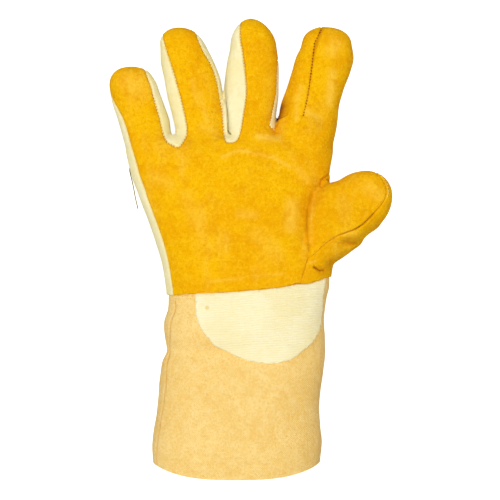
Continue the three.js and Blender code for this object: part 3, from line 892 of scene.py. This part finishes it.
# One panel's points on their own
class Panel:
    def __init__(self, data, faces):
        used, inverse = np.unique(faces, return_inverse=True)
        self.points = data[used, :3].copy()
        self.normals = data[used, 3:6].copy()
        self.faces = inverse.reshape(-1, 3)
        self.measure()

    # Distance to the panel's own seams, and the share that the nearest of them shows
    def measure(self):
        edges = boundary_edges(self.faces)
        rim = np.unique(edges)
        self.rim = rim
        seam = rim[above_hem(self.points[rim]) > HEM_MARGIN]
        self.seam_distance = np.full(len(self.points), 99.0)
        self.share = np.ones(len(self.points))
        if not len(seam):
            return
        tree = tree_of(self.points[seam])
        shares = seam_share(self.points[seam])
        for k, point in enumerate(self.points):
            _, nearest, self.seam_distance[k] = tree.find(point)
            self.share[k] = shares[nearest]

    # Moves the edge back from the seam, along the surface
    def draw_back(self, gap):
        edges = edges_of(self.faces)
        on_rim = np.zeros(len(self.points), bool)
        on_rim[self.rim] = True
        inward = np.zeros_like(self.points)
        for a, b in (edges.T, edges[:, ::-1].T):
            chosen = on_rim[a] & ~on_rim[b]
            np.add.at(inward, a[chosen], self.points[b[chosen]] - self.points[a[chosen]])
        self.points += gap * unit(inward)

    # Rolls the edge down into its seam, and draws it in at each stitch
    def roll_edge(self, stitch_tree):
        d = self.seam_distance
        ease = np.clip(1 - d / SEAM_ROLL, 0, 1)
        pull = SEAM_DEPTH * self.share * (1 - np.sqrt(np.maximum(1 - ease ** 2, 0)))
        for k in np.flatnonzero(d < EDGE_REACH):
            away = stitch_tree.find(self.points[k])[2] / PUCKER_REACH
            pull[k] += PUCKER * min(1, 2 * self.share[k]) * (math.exp(-away * away) - PUCKER_EVEN)
        self.points -= self.normals * pull[:, None]
        self.points[:, 2] = np.maximum(self.points[:, 2], 0)


# A closed wall from an outer surface
def wall_of(points, normals, faces, thickness):
    count = len(points)
    inner = points - normals * thickness
    inner[:, 2] = np.maximum(inner[:, 2], 0)
    rim = boundary_edges(faces)
    a, b = rim[:, 0], rim[:, 1]
    sides = np.vstack([
        np.stack([b, a, a + count], 1), np.stack([b, a + count, b + count], 1),
    ])
    return np.vstack([points, inner]), np.vstack([faces, faces[:, ::-1] + count, sides])


def make_object(name, points, faces, material, slot, nodes=(), values=None):
    mesh = bpy.data.meshes.new(name)
    placed = (points + FRAME_SHIFT) * MM
    mesh.from_pydata(placed.tolist(), [], faces.tolist())
    mesh.polygons.foreach_set("use_smooth", np.ones(len(mesh.polygons), bool))
    mesh.set_sharp_from_angle(angle=math.radians(SHARP_ANGLE))
    for key, column in (values or {}).items():
        layer = mesh.attributes.new(key, "FLOAT", "POINT")
        layer.data.foreach_set("value", column.astype(np.float32))
    mesh.materials.append(material)
    mesh.validate()
    made = add_object(name, mesh)
    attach(made, "root")
    if nodes:
        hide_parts(*nodes)
    return made


# A material in the making: its colour so far, and its bumps so far
class Shader:
    def __init__(self, name, color):
        self.material = bpy.data.materials.new(name)
        self.material.use_nodes = True
        self.tree = self.material.node_tree
        self.surface = self.tree.nodes["Principled BSDF"]
        coordinates = self.tree.nodes.new("ShaderNodeTexCoord")
        self.place = coordinates.outputs["Object"]
        self.color = color
        self.normal = None

    def link(self, source, target):
        self.tree.links.new(source, target)

    def noise(self, scale, detail=2.0, roughness=0.5, stretch=None, distortion=0.0):
        node = self.tree.nodes.new("ShaderNodeTexNoise")
        node.inputs["Scale"].default_value = scale
        node.inputs["Detail"].default_value = detail
        node.inputs["Roughness"].default_value = roughness
        node.inputs["Distortion"].default_value = distortion
        place = self.place
        if stretch:
            mapping = self.tree.nodes.new("ShaderNodeMapping")
            mapping.inputs["Scale"].default_value = stretch[0]
            mapping.inputs["Rotation"].default_value = stretch[1]
            self.link(place, mapping.inputs["Vector"])
            place = mapping.outputs["Vector"]
        self.link(place, node.inputs["Vector"])
        return node.outputs["Fac"]

    # Lays a colour over the one so far, where a value goes from the first level to the second
    def tint(self, value, low, high, color, strength=1.0, smooth=True):
        share = self.ramp(value, low, high, 0.0, strength, smooth)
        self.color = self.mix(share, self.color, color)

    # A small fleck of another colour at one place
    def spot(self, place, radius, color):
        node = self.tree.nodes.new("ShaderNodeVectorMath")
        node.operation = "DISTANCE"
        self.link(self.place, node.inputs[0])
        node.inputs[1].default_value = place
        self.tint(node.outputs["Value"], 2 * radius, radius, color)

    def attribute(self, name):
        node = self.tree.nodes.new("ShaderNodeAttribute")
        node.attribute_name = name
        return node.outputs["Fac"]

    def ramp(self, value, low, high, to_low=0.0, to_high=1.0, smooth=True):
        node = self.tree.nodes.new("ShaderNodeMapRange")
        node.interpolation_type = "SMOOTHSTEP" if smooth else "LINEAR"
        for key, number in zip(
            ("From Min", "From Max", "To Min", "To Max"), (low, high, to_low, to_high)
        ):
            node.inputs[key].default_value = number
        self.link(value, node.inputs["Value"])
        return node.outputs["Result"]

    def put(self, value, socket):
        if isinstance(value, (int, float)):
            socket.default_value = value
        elif isinstance(value, tuple):
            socket.default_value = (*value, 1)
        else:
            self.link(value, socket)

    def math(self, operation, *values):
        node = self.tree.nodes.new("ShaderNodeMath")
        node.operation = operation
        for socket, value in zip(node.inputs, values):
            self.put(value, socket)
        return node.outputs["Value"]

    def mix(self, factor, a, b):
        node = self.tree.nodes.new("ShaderNodeMix")
        node.data_type = "RGBA"
        for number, value in ((0, factor), (6, a), (7, b)):
            self.put(value, node.inputs[number])
        return node.outputs[2]

    # Fine waves along one axis
    def wave(self, along, pitch):
        return self.math("SINE", self.math("MULTIPLY", along, 2 * math.pi / pitch))

    def axis(self, name):
        if not hasattr(self, "separate"):
            self.separate = self.tree.nodes.new("ShaderNodeSeparateXYZ")
            self.link(self.place, self.separate.inputs["Vector"])
        return self.separate.outputs[name]

    def bump(self, height, distance, strength=1.0):
        node = self.tree.nodes.new("ShaderNodeBump")
        node.inputs["Distance"].default_value = distance
        node.inputs["Strength"].default_value = strength
        self.link(height, node.inputs["Height"])
        if self.normal:
            self.link(self.normal, node.inputs["Normal"])
        self.normal = node.outputs["Normal"]

    def finish(self, roughness, sheen=0.0, sheen_tint=(1, 1, 1), specular=0.2):
        surface = self.surface
        self.link(self.color, surface.inputs["Base Color"])
        surface.inputs["Roughness"].default_value = roughness
        surface.inputs["Specular IOR Level"].default_value = specular
        surface.inputs["Sheen Weight"].default_value = sheen
        surface.inputs["Sheen Roughness"].default_value = 0.5
        surface.inputs["Sheen Tint"].default_value = (*sheen_tint, 1)
        if self.normal:
            self.link(self.normal, surface.inputs["Normal"])
        return self.material


def srgb(r, g, b):
    return tuple(
        c / 12.92 if c <= 0.04045 else ((c + 0.055) / 1.055) ** 2.4
        for c in (r / 255, g / 255, b / 255)
    )


# Small marks of use, in metres
SPECKS = {"leather": (-0.0732, 0.0583, 0.0397), "patch": (-0.0317, -0.0457, 0.0478)}


def suede():
    s = Shader("golden_suede", srgb(242, 175, 3))
    broad = s.noise(28, 2, 0.55)
    patches = s.noise(110, 3, 0.6, distortion=0.6)
    brushed = s.noise(60, 3, 0.6, stretch=((1, 0.35, 1), (0, 0, 0.5)))
    nap = s.noise(900, 3, 0.7)
    grain = s.noise(420, 3, 0.65, distortion=0.4)
    s.tint(broad, 0.35, 0.65, srgb(248, 190, 4))
    s.tint(patches, 0.45, 0.75, srgb(251, 197, 20), 0.45)
    s.tint(brushed, 0.5, 0.76, srgb(253, 204, 64), 0.65)
    s.tint(patches, 0.52, 0.28, srgb(235, 162, 3), 0.7)
    s.tint(grain, 0.52, 0.66, srgb(252, 206, 44), 0.5)
    s.tint(grain, 0.48, 0.34, srgb(228, 160, 2), 0.6)
    s.tint(nap, 0.35, 0.65, srgb(226, 160, 2), 0.4)
    # Lighter along the strokes, broken up by the patches: painted highlight, with rubbed suede
    highlit_and_rubbed = s.math("MULTIPLY", s.attribute("highlight_and_wear"), s.ramp(patches, 0.3, 0.6, 0.35, 1.0))
    s.tint(highlit_and_rubbed, 0.0, 1.0, srgb(255, 208, 78), 0.85, smooth=False)
    s.tint(s.attribute("seam"), 0.2, 1.0, srgb(206, 142, 4), 0.5)
    shade = s.attribute("shade")
    s.tint(shade, 0.0, 0.6, srgb(198, 124, 5), 0.65, smooth=False)
    s.tint(shade, 0.55, 1.0, srgb(120, 56, 6), 0.8)
    s.spot(SPECKS["leather"], 0.0006, srgb(120, 70, 10))
    s.bump(nap, 0.0005)
    s.bump(grain, 0.0006, 0.6)
    s.bump(patches, 0.0012, 0.5)
    return s.finish(0.95, sheen=0.05, sheen_tint=(1, 0.8, 0.3), specular=0.02)


def cream_cloth(thread_pitch=0.0011):
    s = Shader("cream_cloth", srgb(247, 236, 180))
    broad = s.noise(40, 2, 0.5)
    s.tint(broad, 0.35, 0.65, srgb(250, 243, 200))
    s.tint(s.noise(320, 2, 0.6), 0.4, 0.65, srgb(240, 224, 152), 0.35)
    s.tint(s.attribute("seam"), 0.2, 1.0, srgb(232, 206, 96), 0.6)
    s.tint(s.attribute("shade"), 0, 1, srgb(120, 108, 60), 0.85)
    weave = s.math(
        "MULTIPLY", s.wave(s.axis("X"), thread_pitch), s.wave(s.axis("Y"), thread_pitch))
    s.bump(weave, 0.00008)
    s.bump(broad, 0.001, 0.5)
    return s.finish(0.9, sheen=0.1, specular=0.15)


def patch_cloth(thread_pitch=0.0009):
    s = Shader("ribbed_cloth", srgb(246, 235, 188))
    s.tint(s.noise(35, 2, 0.5), 0.35, 0.65, srgb(249, 242, 205))
    s.tint(s.noise(300, 3, 0.6), 0.42, 0.68, srgb(244, 230, 166), 0.35)
    # Darker in the troughs between the ribs: painted shade
    s.tint(s.attribute("rib"), 0.3, -1.0, srgb(234, 218, 146), 0.28)
    s.tint(s.attribute("seam_distance"), 0.8, 0.0, srgb(226, 204, 130), 0.25)
    s.spot(SPECKS["patch"], 0.0011, srgb(238, 214, 142))
    s.bump(s.wave(s.axis("X"), thread_pitch), 0.00006)
    return s.finish(0.9, sheen=0.1, specular=0.15)


def cuff_cloth(twill_pitch=0.0016):
    s = Shader("tan_felted_cloth", srgb(247, 208, 122))
    patches = s.noise(160, 3, 0.65)
    grain = s.noise(700, 2, 0.7)
    twill = s.wave(s.math("ADD", s.axis("X"), s.axis("Y")), twill_pitch)
    s.tint(s.noise(30, 2, 0.5), 0.35, 0.65, srgb(252, 218, 138))
    s.tint(patches, 0.45, 0.72, srgb(255, 228, 158), 0.6)
    s.tint(patches, 0.5, 0.3, srgb(240, 194, 102), 0.5)
    s.tint(grain, 0.5, 0.34, srgb(232, 184, 92), 0.6)
    s.tint(grain, 0.52, 0.68, srgb(255, 234, 172), 0.5)
    s.tint(twill, -1, 1, srgb(236, 190, 100), 0.32, smooth=False)
    s.tint(s.attribute("seam"), 0.1, 1.0, srgb(216, 160, 72), 0.5)
    s.bump(twill, 0.0001)
    s.bump(grain, 0.0003)
    s.bump(patches, 0.0008, 0.5)
    return s.finish(0.95, sheen=0.12, specular=0.1)


def thread_material(name, color, darker=0.6):
    s = Shader(name, color)
    s.tint(s.noise(2500, 2, 0.6), 0.35, 0.65, tuple(darker * c for c in color), 0.5)
    return s.finish(0.8, specular=0.2)


# How deep the folds press into the upper side, less the ridges, which the table has as negative
def fold_depth(points):
    raised = [(*row[:5], -row[5]) for row in FOLDS if row[5] < 0]
    pressed = [row for row in FOLDS if row[5] > 0]
    return strokes(points, pressed) - strokes(points, raised)


def crease_depth(points):
    pressed = np.zeros(len(points))
    raised = np.zeros(len(points))
    for line, width, deep in CREASES:
        away = line_distance(points, line) / width
        shape = abs(deep) * np.exp(-away * away)
        if deep > 0:
            pressed = np.maximum(pressed, shape)
        else:
            raised = np.maximum(raised, shape)
    return pressed - raised


def near_creases(points, reach):
    lines = [line for line, _, _ in CREASES] + [POCKET_LIP]
    return np.min([line_distance(points, line) for line in lines], axis=0) < reach


# Broad swellings, the cuff's slope to the right and the cloth's own waviness
def swollen(points, normals):
    for x, y, z, radius, height in SWELLINGS:
        away = ((points - (x, y, z)) ** 2).sum(1) / radius ** 2
        points += normals * (height * np.exp(-away))[:, None]
    start, slope = SIDE_FALL
    on_cuff = smoothstep(*CUFF_BEGINS, points[:, 1]) * smoothstep(*CUFF_RISES, points[:, 2])
    points[:, 2] -= slope * np.maximum(points[:, 0] - start, 0) * on_cuff
    swell = noise_of(points, SWELL_NOISE)
    return points + normals * (swell * smoothstep(*SWELL_RISES, points[:, 2]))[:, None]


# The whole skin with its folds and creases, trimmed at the hem
def build_base():
    points, faces = outer_skin()
    points = relaxed(points, faces, SMOOTHING["skin"])
    normals = normals_of(points, faces)
    points[:, 2] -= fold_depth(points) * smoothstep(*FOLDS_FACE_UP, normals[:, 2])
    points = relaxed(swollen(points, normals), faces, SMOOTHING["swollen"])
    for reach in CREASE_FINE:
        marked = near_creases(points, reach) & (points[:, 2] > CREASE_LOWEST)
        points, _, faces = refined(points, normals_of(points, faces), faces, marked)
    upper = smoothstep(*CREASES_FACE_UP, normals_of(points, faces)[:, 2])
    points[:, 2] -= (crease_depth(points) + POCKET_DEPTH * pocket_share(points)) * upper
    points = relaxed(points, faces, SMOOTHING["creased"])
    under = wrist_distance(points)
    dip = WRIST_DIP * np.clip(1 - under / WRIST_DIP_REACH, 0, 1) * (under > 0)
    points -= normals_of(points, faces) * dip[:, None]
    points[:, 2] = np.maximum(points[:, 2], 0)
    normals = unit(relaxed(normals_of(points, faces), faces, SMOOTHING["normals"]))
    data, kept, _ = split_faces(np.hstack([points, normals]), faces, -above_hem(points))
    return data[:, :3], data[:, 3:], kept


# The patch as a grid that follows the cuff's top, one row of points for each step down
def patch_surface(base_points, base_faces):
    rows = np.arange(PATCH_ROWS[0], PATCH_ROWS[1], PATCH_STEP[1])
    spans = np.arange(PATCH_SPAN[0], PATCH_SPAN[1], PATCH_STEP[0])
    table = smooth_rows(TRUNK[:, 0], TRUNK[:, 1:], rows)
    grid = np.empty((len(rows), len(spans), 3))
    u, w = squared_circle(np.linspace(np.pi, 0, PATCH_ROUND))
    for r, (y, (left, right, mid, top)) in enumerate(zip(rows, table)):
        x = (left + right) / 2 + u * (right - left) / 2
        z = mid + w * (top - mid)
        run = run_along(np.stack([x, z], 1))
        run -= np.interp(0, x, run)
        grid[r, :, 0] = np.interp(spans, run, x)
        grid[r, :, 1] = y
        grid[r, :, 2] = np.interp(spans, run, z)
    points = grid.reshape(-1, 3)
    tree = BVHTree.FromPolygons(base_points.tolist(), base_faces.tolist())
    normals = np.empty_like(points)
    for k, point in enumerate(points):
        place, normal, _, _ = tree.find_nearest(point)
        points[k] = place
        normals[k] = normal
    across = len(spans)
    corner = (np.arange(len(rows) - 1)[:, None] * across + np.arange(across - 1)).ravel()
    faces = np.vstack([
        np.stack([corner, corner + 1, corner + across + 1], 1),
        np.stack([corner, corner + across + 1, corner + across], 1),
    ])
    normals = unit(relaxed(normals, faces, SMOOTHING["patch"]))
    flat_places = np.stack(np.meshgrid(spans, rows), 2).reshape(-1, 2)
    return points, normals, flat_places, faces


# The flat size and area of a piece of cloth, in metres, from its points' places on the flat cloth
def flat_cut(places, faces):
    width, length = np.ptp(places[np.unique(faces)], axis=0) * MM
    a, b, c = (places[faces[:, k]] * MM for k in range(3))
    area = 0.5 * np.abs((b - a)[:, 0] * (c - a)[:, 1] - (b - a)[:, 1] * (c - a)[:, 0]).sum()
    return (float(width), float(length)), float(area)


def build_patch(base_points, base_faces, material):
    points, normals, flat_places, faces = patch_surface(base_points, base_faces)
    top = [(x, y - 0.2) for x, y in WRIST_LINE[2:9]]
    outline = rounded([*top, *PATCH_EDGE], sharp=[top[0], top[-1], PATCH_EDGE[-1]])
    torn = smoothstep(*TEAR_ACROSS, points[:, 0]) * smoothstep(*TEAR_ALONG, points[:, 1])
    fray = noise_of(points, FRAY_NOISE) + torn * noise_of(points, TEAR_NOISE)
    field = signed_distance(points, outline)
    field += fray * smoothstep(*FRAY_BEGINS, wrist_distance(points))
    field = np.maximum(field, PATCH_LOWEST - points[:, 2])
    data, inside, _ = split_faces(np.hstack([points, normals, flat_places]), faces, field)
    kept = groups_of(inside, len(data))[0]
    panel = Panel(data, kept)
    points, normals, d = panel.points, panel.normals, panel.seam_distance
    along = points[:, 1] - RIB_SLANT * points[:, 0] + noise_of(points, RIB_NOISE)
    rib = np.sin(2 * np.pi * along / RIB_PITCH)
    fall, fall_reach = PATCH_EDGE_FALL
    height = PATCH_RISE + PATCH_WALL + RIB_HEIGHT * rib
    height -= fall * np.clip(1 - d / fall_reach, 0, 1) ** 2
    height += noise_of(points, PATCH_NOISE)
    points = points + normals * height[:, None]
    shell_points, shell_faces = wall_of(points, normals, panel.faces, PATCH_WALL)
    patch = make_object(
        "glove_wrist_patch", shell_points, shell_faces, material, "patch_cloth",
        nodes=["wrist_patch"],
        values={"seam_distance": np.tile(d, 2), "rib": np.tile(rib, 2)},
    )
    flat, area = flat_cut(data[:, 6:8], kept)


# One stitch: a short thread that rises from the surface and goes back into it
def stitch_mesh(place, along, normal, width, length, sides=6, steps=6):
    across = unit(np.cross(normal, along))
    angle = np.linspace(0, 2 * np.pi, sides, endpoint=False)
    rings = []
    for t in np.linspace(-1, 1, steps + 1):
        thick = 0.5 * width * math.sqrt(max(1 - 0.92 * t ** 4, 0.05))
        middle = place + along * (0.5 * length * t) - normal * (0.75 * width * t ** 4)
        rings.append(
            middle + thick * (np.cos(angle)[:, None] * across + np.sin(angle)[:, None] * normal))
    return loft(rings)


# The upper side's place and normal at a place in plan, also where that falls between two panels
def upper_side(surface, x, y, reach=0.2):
    found = []
    for dx, dy in ((0, 0), (reach, 0), (-reach, 0), (0, reach), (0, -reach)):
        hit, normal, _, _ = surface.ray_cast(Vector((x + dx, y + dy, 100)), Vector((0, 0, -1)))
        if hit is not None:
            found.append((hit.z, hit, normal))
    _, hit, normal = max(found, key=lambda entry: entry[0])
    return np.array([x, y, hit.z]), np.array(normal)


# Stitches a pitch apart on the surface, along a line in plan
def sew(name, surface, line, pitch, width, length, rise, uneven, material, slot):
    line = np.array([row[:2] for row in line], float)
    run = run_along(line)
    at = np.arange(pitch / 2, run[-1], pitch)
    plan = np.stack([np.interp(at, run, line[:, k]) for k in range(2)], 1)
    rng = np.random.default_rng(len(name))
    points, faces, start = [], [], 0
    for k, (x, y) in enumerate(plan):
        hit, normal = upper_side(surface, x, y)
        before, after = plan[max(k - 1, 0)], plan[min(k + 1, len(plan) - 1)]
        along = np.array([*(after - before), 0.0])
        along = unit(along - normal * (along @ normal))
        along = unit(along + uneven * rng.normal(size=3))
        long = length * (1 + uneven * rng.normal())
        wide = width * (1 + uneven * rng.uniform(-1, 1))
        made, made_faces = stitch_mesh(hit + normal * rise, along, normal, wide, long)
        points.append(made)
        faces.append(made_faces + start)
        start += len(made)
    return make_object(name, np.vstack(points), np.vstack(faces), material, slot)


INDEX_STITCHES = [*INDEX_EDGE[2:6], (53.5, 166)]
THUMB_TIP_STITCHES = [(95.5, 56.5), (98.3, 54), (101.6, 49.4), (102.7, 43), (101.3, 37.5)]
THUMB_LOW_STITCHES = [(64, 9.6), (57, 6.2), (51.5, 1.2), (45.3, -4.8)]
WRIST_ROWS = [
    [(-56, -36.6), (-49, -36.2), (-42, -35.8)],
    [(-56, -40.8), (-49, -40.6), (-42.5, -40.4)],
]

# Each row's piece, line, pitch, width, length, rise, unevenness, thread and slot
STITCH_ROWS = [
    ("glove_index_stitches", INDEX_STITCHES, STITCH_PITCH, 1.1, 1.5, 0.05, 0.3,
     "red_thread", "leather"),
    ("glove_thumb_tip_stitches", THUMB_TIP_STITCHES, STITCH_PITCH, 0.45, 1.4, 0.1, 0.08,
     "pale_thread", "leather"),
    ("glove_thumb_foot_stitches", THUMB_LOW_STITCHES, STITCH_PITCH, 0.45, 1.4, 0.05, 0.08,
     "gold_thread", "leather"),
    ("glove_wrist_row_1", WRIST_ROWS[0], 2.1, 0.7, 1.9, 0.2, 0.08, "cream_thread", "cream_cloth"),
    ("glove_wrist_row_2", WRIST_ROWS[1], 2.1, 0.7, 1.9, 0.2, 0.08, "cream_thread", "cream_cloth"),
]

# Each panel's material, and the slot that goes with it
PANEL_LOOKS = {
    "suede": ["palm_leather", "index_side", "index_back", "thumb_front", "thumb_back"],
    "cream": ["little_ring_side", "ring_middle_side", "middle_side", "back_cloth"],
    "cuff": ["cuff_front", "cuff_back"],
}
LOOK_SLOTS = {"suede": "leather", "cream": "cream_cloth", "cuff": "cuff_cloth"}

materials = {
    "suede": suede(), "cream": cream_cloth(), "cuff": cuff_cloth(), "patch": patch_cloth(),
    "red_thread": thread_material("red_brown_thread", srgb(150, 62, 14)),
    "pale_thread": thread_material("pale_gold_thread", srgb(255, 238, 170)),
    "cream_thread": thread_material("cream_thread", srgb(255, 230, 165)),
    "gold_thread": thread_material("gold_thread", srgb(250, 196, 60)),
    "loose_thread": thread_material("loose_cotton_thread", srgb(150, 142, 84)),
}

# Camera straight above, in metres, with its lens in millimetres
CAMERA_PLACE = (0.00032, -0.00288, 1.2)
LENS = 111.6
SENSOR_WIDTH = 36
camera_data = bpy.data.cameras.new("camera")
camera_data.sensor_width = SENSOR_WIDTH
camera_data.lens = LENS
camera = add_object("camera", camera_data)
camera.location = CAMERA_PLACE
bpy.context.scene.camera = camera


# The loose thread end at the little finger's side, lying down to the table
def loose_thread(material):
    curve = bpy.data.curves.new("glove_loose_thread", "CURVE")
    curve.dimensions = "3D"
    curve.bevel_depth = LOOSE_THREAD_WIDTH / 2 * MM
    curve.bevel_resolution = 3
    curve.use_fill_caps = True
    places = (np.array(LOOSE_THREAD) + FRAME_SHIFT) * MM
    spline = curve.splines.new("POLY")
    steps = np.linspace(0, len(places) - 1, 8 * (len(places) - 1) + 1)
    smooth = smooth_rows(np.arange(len(places)), places, steps)
    spline.points.add(len(smooth) - 1)
    for point, place in zip(spline.points, smooth):
        point.co = (*place, 1)
    curve.materials.append(material)
    thread = add_object("glove_loose_thread", curve)
    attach(thread, "root")
    tuple(float(v) for v in smooth[0])


# The shade of the pocket, which ends at its lip
def pocket_shade(panel):
    lip = np.array(POCKET_LIP)
    below = np.interp(panel.points[:, 0], lip[:, 0], lip[:, 1]) - panel.points[:, 1]
    facing = smoothstep(-0.7, -0.2, panel.normals[:, 2])
    width, full, none = POCKET_SHADE
    darkness = np.exp(-(line_distance(panel.points, POCKET_DARKEST) / width) ** 2)
    darkness *= 1 - smoothstep(full, none, panel.points[:, 1])
    return darkness * smoothstep(0.2, -0.4, below) * facing


# The shade along the middle finger's side of the valley
def valley_shade(points):
    valley = np.array(VALLEY[::-1])
    past = points[:, 0] - np.interp(points[:, 1], valley[:, 0], valley[:, 1])
    ends = smoothstep(*VALLEY_FOOT, points[:, 1]) * smoothstep(*VALLEY_HEAD, points[:, 1])
    strength, width = VALLEY_SHADE
    return strength * ends * smoothstep(-0.4, 0.3, past) * np.exp(-(past / width) ** 2)


# Builds the panels, and gives back their outer surface
def build_panels(points, normals, faces):
    data, panels = cut_panels(points, normals, faces)
    stitch_tree = tree_of(stitch_places(data, panels))
    looks = {name: look for look, names in PANEL_LOOKS.items() for name in names}
    outer_points, outer_faces, total = [], [], 0
    for name, panel_faces in panels.items():
        panel = Panel(data, panel_faces)
        panel.draw_back(SEAM_GAP)
        panel.roll_edge(stitch_tree)
        outer_faces.append(panel.faces + total)
        outer_points.append(panel.points)
        total += len(panel.points)
        look = looks[name]
        upper = smoothstep(*SHADE_FACES_UP, panel.normals[:, 2])
        shade = np.zeros(len(panel.points))
        if look == "cream":
            shade = np.maximum(
                strokes(panel.points, CREAM_SHADES) * upper, valley_shade(panel.points))
        elif look == "suede":
            shade = np.maximum(strokes(panel.points, SHADES) * upper, pocket_shade(panel))
        seam = np.clip(1 - panel.seam_distance / SEAM_TINT_REACH, 0, 1) * panel.share
        values = {"seam": seam, "shade": shade, "highlight_and_wear": strokes(panel.points, HIGHLIGHTS_AND_WEAR) * upper}
        shell_points, shell_faces = wall_of(panel.points, panel.normals, panel.faces, WALL)
        make_object(
            "glove_" + name, shell_points, shell_faces, materials[look], LOOK_SLOTS[look],
            nodes=[name], values={key: np.tile(column, 2) for key, column in values.items()},
        )
    return BVHTree.FromPolygons(
        np.vstack(outer_points).tolist(), np.vstack(outer_faces).tolist())


loose_thread(materials["loose_thread"])
base_points, base_normals, base_faces = build_base()
surface = build_panels(base_points, base_normals, base_faces)
build_patch(base_points, base_faces, materials["patch"])
for name, line, pitch, width, length, rise, uneven, thread, slot in STITCH_ROWS:
    sew(name, surface, line, pitch, width, length, rise, uneven, materials[thread], slot)

# Floor, lights and sky, in metres and watts
FLOOR_HALF = 3.0
FLOOR_HEIGHT = -0.0002
FLOOR_COLOR = (0.62, 0.58, 0.5, 1)
FLOOR_GLOW = 0.9  # seen by the camera alone, so that the floor looks white
LIGHTS = [  # name, place, size, power, colour
    ("key_light", (-1.25, 0.7, 1.7), 1.2, 18.5, (1, 1, 1)),
    ("top_light", (0.0, 0.0, 2.4), 1.4, 32.5, (1, 1, 1)),
    ("fill_light", (1.3, -0.3, 1.7), 1.4, 8.5, (1, 0.86, 0.6)),
]
SKY = (0.2, 1.0)  # its strength as a light, and as the camera sees it


# Links a value that is 1 for what the camera sees to a socket of a node that scales it
def camera_seen(tree, node, socket, target):
    rays = tree.nodes.new("ShaderNodeLightPath")
    tree.links.new(rays.outputs["Is Camera Ray"], node.inputs[socket])
    tree.links.new(node.outputs[0], target)


def add_floor():
    corners = [(-1, -1), (1, -1), (1, 1), (-1, 1)]
    mesh = bpy.data.meshes.new("floor")
    mesh.from_pydata(
        [(x * FLOOR_HALF, y * FLOOR_HALF, FLOOR_HEIGHT) for x, y in corners], [], [(0, 1, 2, 3)])
    floor = add_object("floor", mesh)
    material = bpy.data.materials.new("pale_floor")
    material.use_nodes = True
    tree = material.node_tree
    surface_inputs = tree.nodes["Principled BSDF"].inputs
    surface_inputs["Base Color"].default_value = FLOOR_COLOR
    surface_inputs["Roughness"].default_value = 1.0
    surface_inputs["Emission Color"].default_value = (1, 1, 1, 1)
    glow = tree.nodes.new("ShaderNodeMath")
    glow.operation = "MULTIPLY"
    glow.inputs[1].default_value = FLOOR_GLOW
    camera_seen(tree, glow, 0, surface_inputs["Emission Strength"])
    mesh.materials.append(material)


# A square light that points at the glove
def add_light(name, place, size, power, color):
    light_data = bpy.data.lights.new(name, "AREA")
    light_data.shape = "SQUARE"
    light_data.size = size
    light_data.energy = power
    light_data.color = color
    light = add_object(name, light_data)
    light.location = place
    toward = Vector((0, 0, 0)) - Vector(place)
    light.rotation_euler = toward.to_track_quat("-Z", "Y").to_euler()


def add_sky():
    world = bpy.data.worlds.new("studio")
    bpy.context.scene.world = world
    world.use_nodes = True
    tree = world.node_tree
    background = tree.nodes["Background"]
    background.inputs["Color"].default_value = (1, 1, 1, 1)
    level = tree.nodes.new("ShaderNodeMapRange")
    level.inputs["To Min"].default_value = SKY[0]
    level.inputs["To Max"].default_value = SKY[1]
    camera_seen(tree, level, "Value", background.inputs["Strength"])


add_floor()
for light in LIGHTS:
    add_light(*light)
add_sky()
bpy.context.scene.view_settings.view_transform = "Standard"
bpy.context.scene.view_settings.look = "None"
